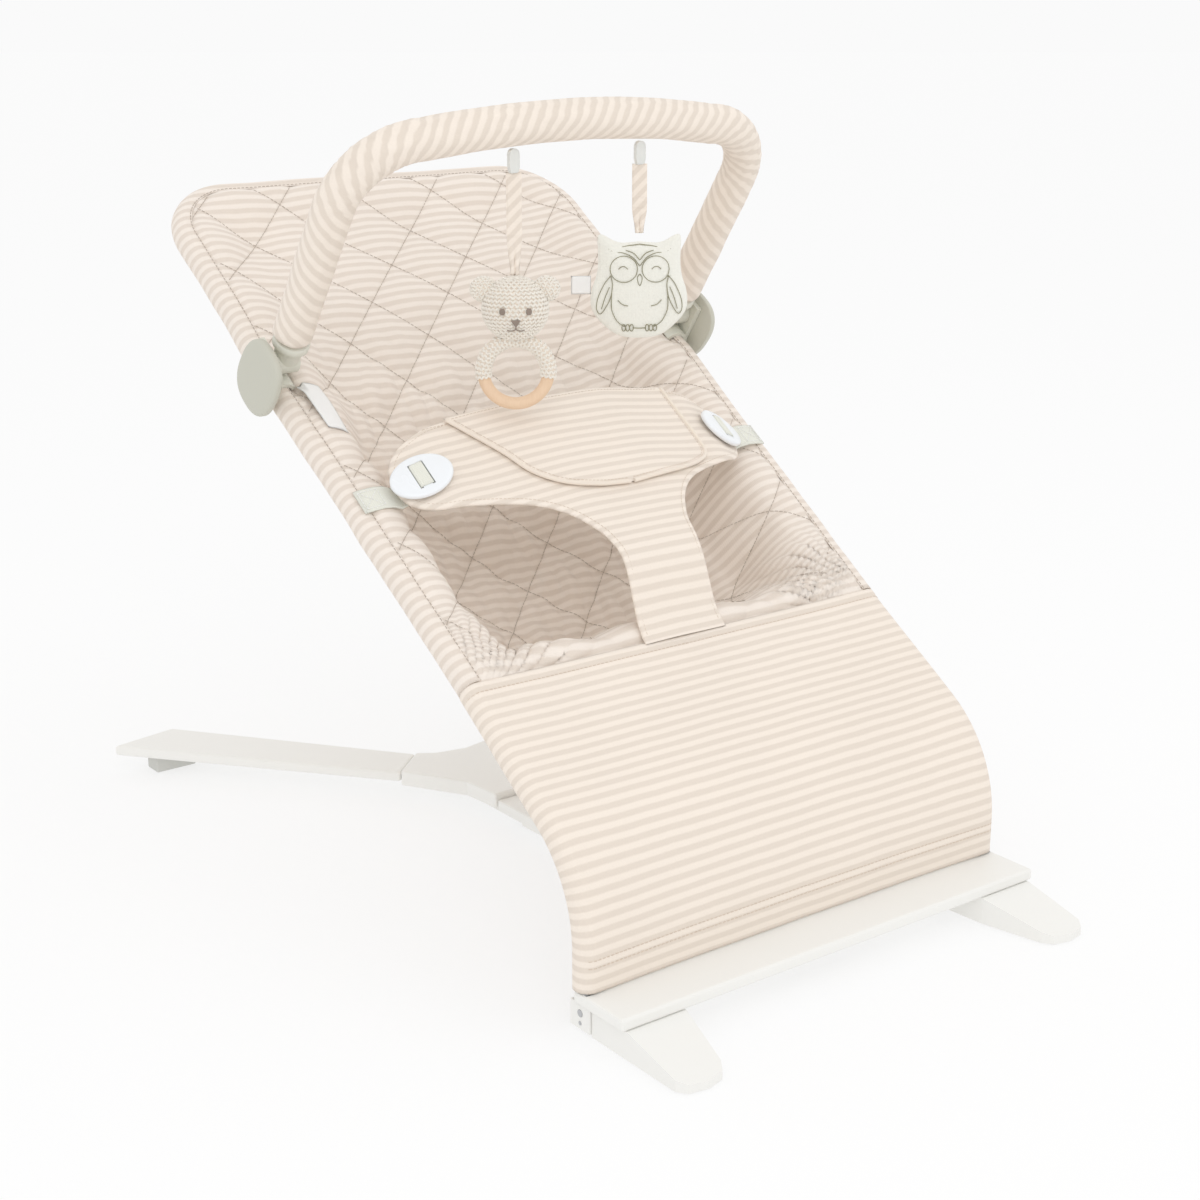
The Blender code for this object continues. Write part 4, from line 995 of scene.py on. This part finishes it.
def make_bar():
    inner = BAR_X - BAR_CORNER_R
    plan = [(BAR_X, h) for h in np.arange(0.0263, BAR_LEG - 0.003, 0.003)]
    plan += [(inner + BAR_CORNER_R * math.cos(a), BAR_LEG + BAR_CORNER_R * math.sin(a))
             for a in np.radians(np.linspace(0, 80, 36))]
    plan += [(x, bar_top(x)) for x in np.arange(0.148, 0.001, -0.004)]
    plan += [(0.0, bar_top(0))] + [(-x, h) for x, h in reversed(plan)]
    path = [bar_point(x, h) for x, h in plan]
    bend = [math.exp(-((abs(x) - inner - 0.045) / 0.035) ** 2 - ((h - BAR_LEG - 0.03) / 0.05) ** 2)
            for x, h in plan]
    count = len(path)

    def radius(f, a):
        i = min(count - 1, int(round(f * (count - 1))))
        twist = math.sin(f * 560 + 3.0 * math.sin(a)) * math.sin(f * 131 + a)
        rumple = wobble((f * 14, math.cos(a), math.sin(a)), 2.2)
        end = 0.55 + 0.45 * rounding(min(f, 1 - f) * (count - 1), 2.0)
        return (BAR_R - 0.0004 + 0.0006 * rumple + 0.0004 * twist * (0.25 + bend[i])) * end

    build = Build()
    tube(build, path, radius, 44)
    obj = build.object("toy_bar_pad", [M["bias"]], "toy_bar", "stripe_fabric", merge=1e-6)
    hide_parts("toy_bar_cover", "toy_bar_rod")
    for side, sign in SIDES.items():
        build = Build()
        socket = ((0.0025, 0.0040), (0.0035, 0.0108), (0.0060, 0.0116), (0.0120, 0.0118),
                  (0.0165, 0.0136), (0.0182, 0.0153), (0.0190, 0.0158), (0.0215, 0.0160),
                  (0.0245, 0.0159), (0.0254, 0.0150), (0.0257, 0.0120), (0.0257, 0.0062))
        centre = bar_point(sign * (BAR_X - 0.0012), 0)
        turned(build, [(h, centre + OUT * h, r) for h, r in socket], Vector((1, 0, 0)), 48)
        x0, x1 = BAR_X - 0.0115, tube_x(BAR_S) + 0.0115
        hub = ((x0, 0.0085), (x0 + 0.0010, 0.0102), (x1 - 0.0005, 0.0102), (x1, 0.0098))
        turned(build, [(x, bar_point(sign * x, 0), r) for x, r in hub], OUT, 40)
        obj = build.object(f"bar_collar_{side}", [M["collar"]], "toy_bar", "sage_plastic")
        obj.data.set_sharp_from_angle(angle=math.radians(50))
        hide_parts(f"bar_socket_{side}")


def make_caps():
    for side, sign in SIDES.items():
        back = tube_x(BAR_S) + 0.0110 + 0.0006 + 0.0050 + 0.0003
        levels = [(0.0, 0.985), (0.0006, 1.0)]
        levels += [(0.0030 + 0.0048 * math.sin(a), 1 - 0.42 * (1 - math.cos(a)) ** 1.4)
                   for a in np.radians(np.linspace(0, 86, 12))]
        levels += [(0.0079, 0.3), (0.00795, 0.02)]
        build = Build()
        points, uv = [], []
        for depth, size in levels:
            ring, coords = [], []
            for a in np.linspace(0, 2 * math.pi, 97):
                ca, sa = math.cos(a), math.sin(a)
                u = math.copysign(abs(ca) ** (2 / 2.5), ca) * 0.0300 * size
                v = math.copysign(abs(sa) ** (2 / 2.5), sa) * 0.0350 * size
                ring.append(seat_point(sign * (back + depth), BAR_S - 0.006 + u - 0.12 * v,
                                       BAR_OFF - 0.010 + v))
                coords.append((u, v))
            points.append(ring[:-1])
            uv.append(coords)
        build.grid(points, uv, wrap=True)
        build.caps(len(levels), 96, uv)
        obj = build.object(f"clamp_cover_{side}", [M["cap"]], "seat", "sage_plastic")
        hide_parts(f"clamp_cap_{side}")


# ---------------------------------------------------------------- care tag
def make_care_tag():
    """A blank folded tag sewn into the cover's seam beside the left clamp."""
    build = Build()
    rows, cols = 14, 24
    mid, uv = [], []
    for i in range(rows):
        row, coords = [], []
        for j in range(cols):
            a, b = j / (cols - 1), i / (rows - 1)
            x = -0.2050 + 0.020 * b + 0.003 * a
            s = 0.334 - 0.056 * a - 0.004 * b
            row.append(quilt_point(x, s, 0.0082 + 0.0020 * math.sin(3.2 * a) * b))
            coords.append((0.056 * a, 0.02 * b))
        mid.append(row)
        uv.append(coords)
    padded_grid(build, mid, uv, 0.0008, 0.0005,
                lambda i, j: min(i, rows - 1 - i, j, cols - 1 - j) * 0.0012)
    obj = build.object("care_tag", [M["tag"]], "seat", "tag_cloth", merge=1e-6)


# ---------------------------------------------------------------- hanging toys
TOY_X = {"bear": -0.065, "owl": 0.066}
TWIST = math.radians(-34)


class Toy:
    """Local coordinates of a toy: right, towards its back, and up, from its hook."""

    def __init__(self, name):
        x = TOY_X[name]
        self.hook = bar_point(x, bar_top(x)) - Vector((0, 0, BAR_R + 0.0062))
        self.turn = Matrix.Rotation(TWIST, 3, "Z")

    def at(self, a, b, c):
        return self.hook + self.turn @ Vector((float(a), float(b), float(c)))

    def way(self, a, b, c):
        return self.turn @ Vector((a, b, c))


def make_strap(name, length):
    """A folded ribbon: flat above, with a stitched fold, and gathered into the toy."""
    toy = Toy(name)
    top = -0.0142
    build = Build()
    mid, uv = [], []
    rows, cols = 60, 14
    for i in range(rows):
        t = i / (rows - 1)
        gather = smooth((t - 0.62) / 0.38)
        wide = 0.0064 * (1 - 0.45 * gather)
        row, coords = [], []
        for j in range(cols):
            u = 2 * j / (cols - 1) - 1
            fold = 0.0010 * gather * math.cos(u * 7.0) + 0.0004 * math.sin(t * 9)
            step = -0.0008 if 0.50 < t < 0.62 else 0.0
            row.append(toy.at(u * wide, fold + step, top - length * t))
            coords.append((u * 0.0064, length * t))
        mid.append(row)
        uv.append(coords)
    padded_grid(build, mid, uv, 0.0022, 0.0012,
                lambda i, j: min(j, cols - 1 - j) * 0.0010 + 0.0001 if 0 < i < rows - 1 else 0.0)
    seam = [toy.at(a, -0.0013, top - length * 0.56) for a in np.linspace(-0.0056, 0.0056, 6)]
    stitches(build, seam, [toy.way(0, -1, 0)] * 6, 1, 0.0016, 0.0006, 0.0002)
    obj = build.object(f"{name}_ribbon", [M["ribbon"], M["thread"]], f"{name}_toy",
                       "stripe_fabric", merge=1e-6)
    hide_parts(f"{name}_strap")
    return top - length


def crochet_stitch(build, centre, normal, up, size, mat=0):
    """One V-shaped crochet stitch: two leaning loops of yarn."""
    side = up.cross(normal).normalized()
    for lean in (-1, 1):
        axis = (up * 0.80 + side * lean * 0.62).normalized()
        across = normal.cross(axis).normalized()
        middle = centre + side * lean * size * 0.27
        verts = []
        for t, r in ((-0.56, 0.12), (-0.36, 0.24), (0.0, 0.30), (0.36, 0.24), (0.56, 0.12)):
            for m in range(6):
                ang = math.pi * m / 3
                spoke = across * math.cos(ang) + normal * math.sin(ang)
                verts.append(middle + axis * t * size + spoke * r * size)
        faces = [[i * 6 + k, i * 6 + (k + 1) % 6, (i + 1) * 6 + (k + 1) % 6, (i + 1) * 6 + k]
                 for i in range(4) for k in range(6)] + [list(range(6)), list(range(24, 30))]
        build.add(verts, faces, [(v.x * 0.3 + v.z * 0.2, v.y + v.z) for v in verts], mat)


def crochet_blob(build, toy, centre, radii, row_size=0.0036, col_size=0.0042, keep=None):
    """Rows of crochet over an ellipsoid whose axis is upright."""
    cx, cy, cz = centre
    rx, ry, rz = radii

    def at(th, ph, size):
        return (cx + size * rx * math.sin(th) * math.cos(ph),
                cy + size * ry * math.sin(th) * math.sin(ph), cz + size * rz * math.cos(th))

    verts, faces = [], []
    across, high = 28, 18
    for i in range(high + 1):
        for k in range(across):
            verts.append(toy.at(*at(math.pi * i / high, 2 * math.pi * k / across, 0.955)))
    for i in range(high):
        for k in range(across):
            m = (k + 1) % across
            faces.append([i * across + k, i * across + m, (i + 1) * across + m, (i + 1) * across + k])
    # the core under the stitches takes the second material, the darkened yarn: painted shade between the
    # stitches
    build.add(verts, faces, [(v.x, v.z) for v in verts], 1)
    count = max(4, round(math.pi * (rx + rz) / 2 / row_size))
    for i in range(count):
        th = math.pi * (i + 0.5) / count
        girth = 2 * math.pi * math.sin(th) * (rx + ry) / 2
        turns = max(5, round(girth / col_size))
        for k in range(turns):
            ph = 2 * math.pi * (k + 0.5 * (i % 2)) / turns
            st, ct = math.sin(th), math.cos(th)
            p = at(th, ph, 0.965)
            if keep and not keep(*p):
                continue
            n = toy.way(st * math.cos(ph) / rx, st * math.sin(ph) / ry, ct / rz).normalized()
            up = toy.way(rx * ct * math.cos(ph), ry * ct * math.sin(ph), -rz * st)
            up = (-up - n * -up.dot(n)).normalized()
            crochet_stitch(build, toy.at(*p), n, up, row_size)


def make_bear():
    toy = Toy("bear")
    top = make_strap("bear", 0.0838)
    head_z = top - 0.0003 - 0.0275
    build = Build()
    ring_z = head_z - 0.0275 - 0.02725 - 0.0070 + 0.0090

    def off_ring(x, y, z):
        return math.hypot(math.hypot(x, z - ring_z) - 0.02725, y) > 0.0072

    def on_ring(t):
        return toy.at(0.02725 * math.cos(t), 0, ring_z + 0.02725 * math.sin(t))

    crochet_blob(build, toy, (0, 0, head_z), (0.0285, 0.0225, 0.0275), keep=off_ring)
    for sign in (-1, 1):
        crochet_blob(build, toy, (sign * 0.0262, 0, head_z + 0.0165), (0.0112, 0.0060, 0.0104),
                     0.0032, 0.0036)
    obj = build.object("bear_crochet_head", [M["crochet"], M["crochet_core_shade"]], "bear_toy", "crochet")
    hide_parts("bear_head")

    def on_face(a, c, lift=0.0006):
        """A point of the face a to the right and c up from the head's middle."""
        b = 0.0225 * math.sqrt(max(0.0, 1 - (a / 0.0285) ** 2 - (c / 0.0275) ** 2))
        return toy.at(a, -b - lift, head_z + c)

    face = Build()
    for sign in (-1, 1):
        for k in range(5):
            c = 0.0006 + (k - 2) * 0.0011
            reach = 0.0023 * math.sqrt(1 - ((k - 2) / 2.7) ** 2)
            tube(face, [on_face(sign * 0.0110 + a, c) for a in np.linspace(-reach, reach, 5)],
                 0.00065, 7)
    for k in range(5):
        reach = 0.0038 - 0.00075 * k
        tube(face, [on_face(a, -0.0068 - 0.0011 * k, 0.0010) for a in np.linspace(-reach, reach, 6)],
             0.00065, 7)
    tube(face, [on_face(0, c, 0.0008) for c in (-0.0105, -0.0125, -0.0142)], 0.0005, 7)
    for sign in (-1, 1):
        tube(face, [on_face(sign * t, -0.0142 - 0.0024 * math.sin(math.pi * t / 0.0088) * 0.6, 0.0008)
                    for t in np.linspace(0, 0.0072, 8)], 0.0005, 7)
    face.object("bear_face", [M["brown"]], "bear_toy", "crochet")
    ring = Build()
    tube(ring, [on_ring(t) for t in np.linspace(0, 2 * math.pi, 97)[:-1]], 0.00525, 28, closed=True)
    obj = ring.object("beech_ring", [M["beech"]], "bear_toy", "beech", merge=1e-6)
    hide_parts("wooden_ring")
    wrap = Build()
    # the wrap's core takes the darkened yarn: painted shade between the stitches
    tube(wrap, [on_ring(t) for t in np.radians(np.linspace(-10, 190, 60))], 0.0061, 18, mat=1)
    rounds = 27
    for i in range(rounds + 1):
        t = math.radians(-8 + 196 * i / rounds)
        for k in range(10):
            ph = 2 * math.pi * (k + 0.5 * (i % 2)) / 10
            if abs(math.degrees(t) - 90) < 46 and math.cos(ph) > 0.9:
                continue
            radial = toy.way(math.cos(t), 0, math.sin(t))
            n = radial * math.cos(ph) + toy.way(0, 1, 0) * math.sin(ph)
            along = toy.way(-math.sin(t), 0, math.cos(t))
            crochet_stitch(wrap, on_ring(t) + n * 0.0062, n, along, 0.0034)
    obj = wrap.object("ring_crochet", [M["crochet"], M["crochet_core_shade"]], "bear_toy", "crochet")
    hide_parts("ring_wrap")


# the owl's right half and, below, the stitched lines of that half, as (x, z) from the ribbon's end
OWL_PLAN = ((0.0, -0.0035), (0.008, -0.0042), (0.016, -0.0044), (0.023, -0.0022), (0.029, 0.0012),
            (0.0335, 0.0028), (0.0358, 0.0008), (0.0362, -0.0040), (0.0358, -0.012),
            (0.0358, -0.024), (0.0375, -0.034), (0.0408, -0.044), (0.0422, -0.054),
            (0.0410, -0.062), (0.0378, -0.068), (0.0330, -0.0735), (0.0270, -0.0790),
            (0.0200, -0.0838), (0.0110, -0.0865), (0.0, -0.0872))
OWL_LINES = (
    ((0.0002, -0.0235), (0.0060, -0.0165), (0.0140, -0.0128), (0.0220, -0.0120), (0.0275, -0.0085),
     (0.0300, -0.0030)),
    ((0.0300, -0.0030), (0.0245, -0.0055), (0.0190, -0.0082), (0.0100, -0.0068), (0.0, -0.0055)),
    ((0.0002, -0.0185), (0.0052, -0.0130), (0.0120, -0.0105)),
    ((0.0250, -0.0320), (0.0310, -0.0400), (0.0362, -0.0520), (0.0372, -0.0610), (0.0340, -0.0655),
     (0.0290, -0.0590), (0.0250, -0.0500), (0.0236, -0.0400), (0.0250, -0.0320)),
    ((0.0262, -0.0420), (0.0300, -0.0510), (0.0330, -0.0610)),
    ((0.0236, -0.0400), (0.0245, -0.0520), (0.0240, -0.0620), (0.0195, -0.0715), (0.0130, -0.0765)),
    ((0.0190, -0.0530), (0.0150, -0.0568), (0.0100, -0.0582)))


def through(points, loop=False):
    """A smooth curve through the points, with five steps between each two."""
    pts = [np.array(p) for p in points]
    if loop:
        pts = pts[-1:] + pts + pts[:2]
    else:
        pts = [2 * pts[0] - pts[1]] + pts + [2 * pts[-1] - pts[-2]]
    out = []
    for p0, p1, p2, p3 in zip(pts, pts[1:], pts[2:], pts[3:]):
        for t in np.linspace(0, 1, 6)[:-1]:
            out.append(0.5 * (2 * p1 + (p2 - p0) * t + (2 * p0 - 5 * p1 + 4 * p2 - p3) * t * t
                              + (3 * p1 - p0 - 3 * p2 + p3) * t ** 3))
    return out if loop else out + [pts[-2]]


def make_owl():
    toy = Toy("owl")
    top = make_strap("owl", 0.0588) - 0.0035
    dense = through(OWL_PLAN + tuple((-x, z) for x, z in reversed(OWL_PLAN[1:-1])), loop=True)
    mid_z = -0.0430
    build = Build()
    for face in (-1, 1):
        points, uv = [], []
        for f in 1 - np.cos(np.radians(np.linspace(0, 90, 16))):
            size = 1 - f
            thick = 0.0078 * math.sqrt(max(0.0, 1 - size ** 3.2)) * (0.9 + 0.1 * f)
            row, coords = [], []
            for a, c in dense:
                x, z = a * size, mid_z + (c - mid_z) * size
                plump = face * thick + wobble((x, z, 5.0), 70) * 0.0005 * (1 - size)
                row.append(toy.at(x, plump, top + z))
                coords.append((x, z))
            points.append(row)
            uv.append(coords + [coords[0]])
        build.grid(points, uv, wrap=True)
    obj = build.object("owl_plush", [M["plush"]], "owl_toy", "sage_plush", merge=2e-5)
    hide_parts("owl_body")

    def on_body(x, z, lift=0.0):
        r = 0.0
        for a, c in dense:
            if abs(math.atan2(c - mid_z, a) - math.atan2(z - mid_z, x)) < 0.12:
                r = max(r, math.hypot(x, z - mid_z) / math.hypot(a, c - mid_z))
        thick = 0.0078 * math.sqrt(max(0.0, 1 - min(1.0, r) ** 3.2))
        return toy.at(x, -thick - 0.0002 - lift, top + z)

    art = Build()

    def draw(points):
        tube(art, [on_body(*p) for p in through(points)], 0.000425, 7, squeeze=0.8)

    eye_r = 0.0118
    for sign in (-1, 1):
        ex, ez = sign * 0.0138, -0.0265
        draw([(ex + eye_r * math.cos(t), ez + eye_r * 0.95 * math.sin(t))
              for t in np.radians(np.linspace(0, 360, 19))])
        draw([(ex + sign * 0.0006 + 0.0040 * t, ez + 0.0024 - 0.0024 * t * t)
              for t in np.linspace(-1, 1, 7)])
        for line in OWL_LINES:
            draw([(sign * x, z) for x, z in line])
        for k in range(3):
            fx = sign * (0.0068 + 0.0034 * k)
            draw([(fx + 0.0016 * math.cos(t), -0.0775 + 0.0030 * math.sin(t))
                  for t in np.radians(np.linspace(0, 360, 11))])
    draw([(-0.0058, -0.0775), (0.0, -0.0778), (0.0058, -0.0775)])
    draw([(0.0, -0.0305), (0.0020, -0.0335), (0.0014, -0.0380), (0.0, -0.0405), (-0.0014, -0.0380),
          (-0.0020, -0.0335), (0.0, -0.0305)])
    art.object("owl_embroidery", [M["olive"]], "owl_toy", "sage_plush")
    tag = Build()
    rows = 12
    mid, uv = [], []
    low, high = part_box("owl_tag")
    zc = (low.z + high.z) / 2 - toy.hook.z
    for i in range(rows):
        row, coords = [], []
        for j in range(rows):
            a, c = j / (rows - 1), i / (rows - 1)
            row.append(toy.at(-0.0590 + 0.0172 * a, 0.0010 * math.sin(2.6 * a), zc - 0.008 + 0.016 * c))
            coords.append((0.016 * a, 0.016 * c))
        mid.append(row)
        uv.append(coords)
    padded_grid(tag, mid, uv, 0.0009, 0.0006,
                lambda i, j: min(i, rows - 1 - i, j, rows - 1 - j) * 0.0012)
    obj = tag.object("owl_side_tag", [M["tag"]], "owl_toy", "tag_cloth", merge=1e-6)
    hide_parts("owl_tag")


# ---------------------------------------------------------------- what is shown straight from the CAD
def finish_cad():
    looks = {"paint": ("front_plate", "front_foot_left", "front_foot_right", "base_spine", "rear_hub",
                       "rear_leg_left", "rear_leg_right", "hinge_bracket_left", "hinge_bracket_right"),
             "rubber": ("front_grip_left", "front_grip_right", "leg_grip_left", "leg_grip_right"),
             "collar": ("clamp_jaw_left", "clamp_jaw_right"), "clear": ("bear_link", "owl_link")}
    named = {node: key for key, nodes in looks.items() for node in nodes}
    for name, obj in frame["nodes"].items():
        key = named.get(name)
        if key is None and obj.type == "MESH":
            slots = [m.name for m in obj.data.materials if m]
            key = "steel" if any("steel" in s for s in slots) else None
        if key:
            obj.data.materials.clear()
            obj.data.materials.append(M[key])


# ---------------------------------------------------------------- floor, light and camera
def make_stage():
    mesh = bpy.data.meshes.new("floor")
    size = 40.0
    mesh.from_pydata([(-size, -size, 0), (size, -size, 0), (size, size, 0), (-size, size, 0)], [],
                     [[0, 1, 2, 3]])
    floor = bpy.data.objects.new("floor", mesh)
    bpy.context.scene.collection.objects.link(floor)
    floor.location.z = -0.0002
    pale = Shader("floor_paper", Roughness=1.0, Specular_IOR_Level=0.0, Emission_Strength=0.635)
    pale.main.inputs["Emission Color"].default_value = (1.0, 1.0, 1.0, 1.0)
    pale.done((0.34, 0.34, 0.34, 1.0))
    mesh.materials.append(pale.mat)
    world = bpy.data.worlds.new("studio")
    bpy.context.scene.world = world
    world.use_nodes = True
    world.node_tree.nodes["Background"].inputs[0].default_value = (1.0, 1.0, 1.0, 1.0)
    world.node_tree.nodes["Background"].inputs[1].default_value = 0.956
    for name, place, energy, size in (("key", (-1.5, -2.2, 2.3), 11, 1.6),
                                      ("fill", (0.9, -1.2, 2.6), 4, 2.0)):
        lamp = bpy.data.lights.new(name, "AREA")
        lamp.energy, lamp.size = energy, size
        obj = bpy.data.objects.new(name, lamp)
        obj.location = place
        obj.rotation_euler = (Vector((0, 0, 0.3)) - Vector(place)).to_track_quat("-Z", "Y").to_euler()
        bpy.context.scene.collection.objects.link(obj)


def make_view():
    bpy.context.scene.view_settings.view_transform = "Standard"


def make_camera():
    camera = bpy.data.cameras.new("view")
    camera.lens, camera.sensor_width = 61.86, 36.0
    camera.clip_end = 20
    obj = bpy.data.objects.new("view", camera)
    obj.location = (-1.042, -1.4077, 0.763)
    obj.rotation_euler = Vector((0.577, 0.762, -0.292)).to_track_quat("-Z", "Y").to_euler()
    bpy.context.scene.collection.objects.link(obj)
    bpy.context.scene.camera = obj


make_quilt()
make_cover_edge()
make_front_cover()
make_harness()
make_toggles()
make_bar()
make_caps()
make_care_tag()
make_bear()
make_owl()
finish_cad()
make_stage()
make_camera()
make_view()
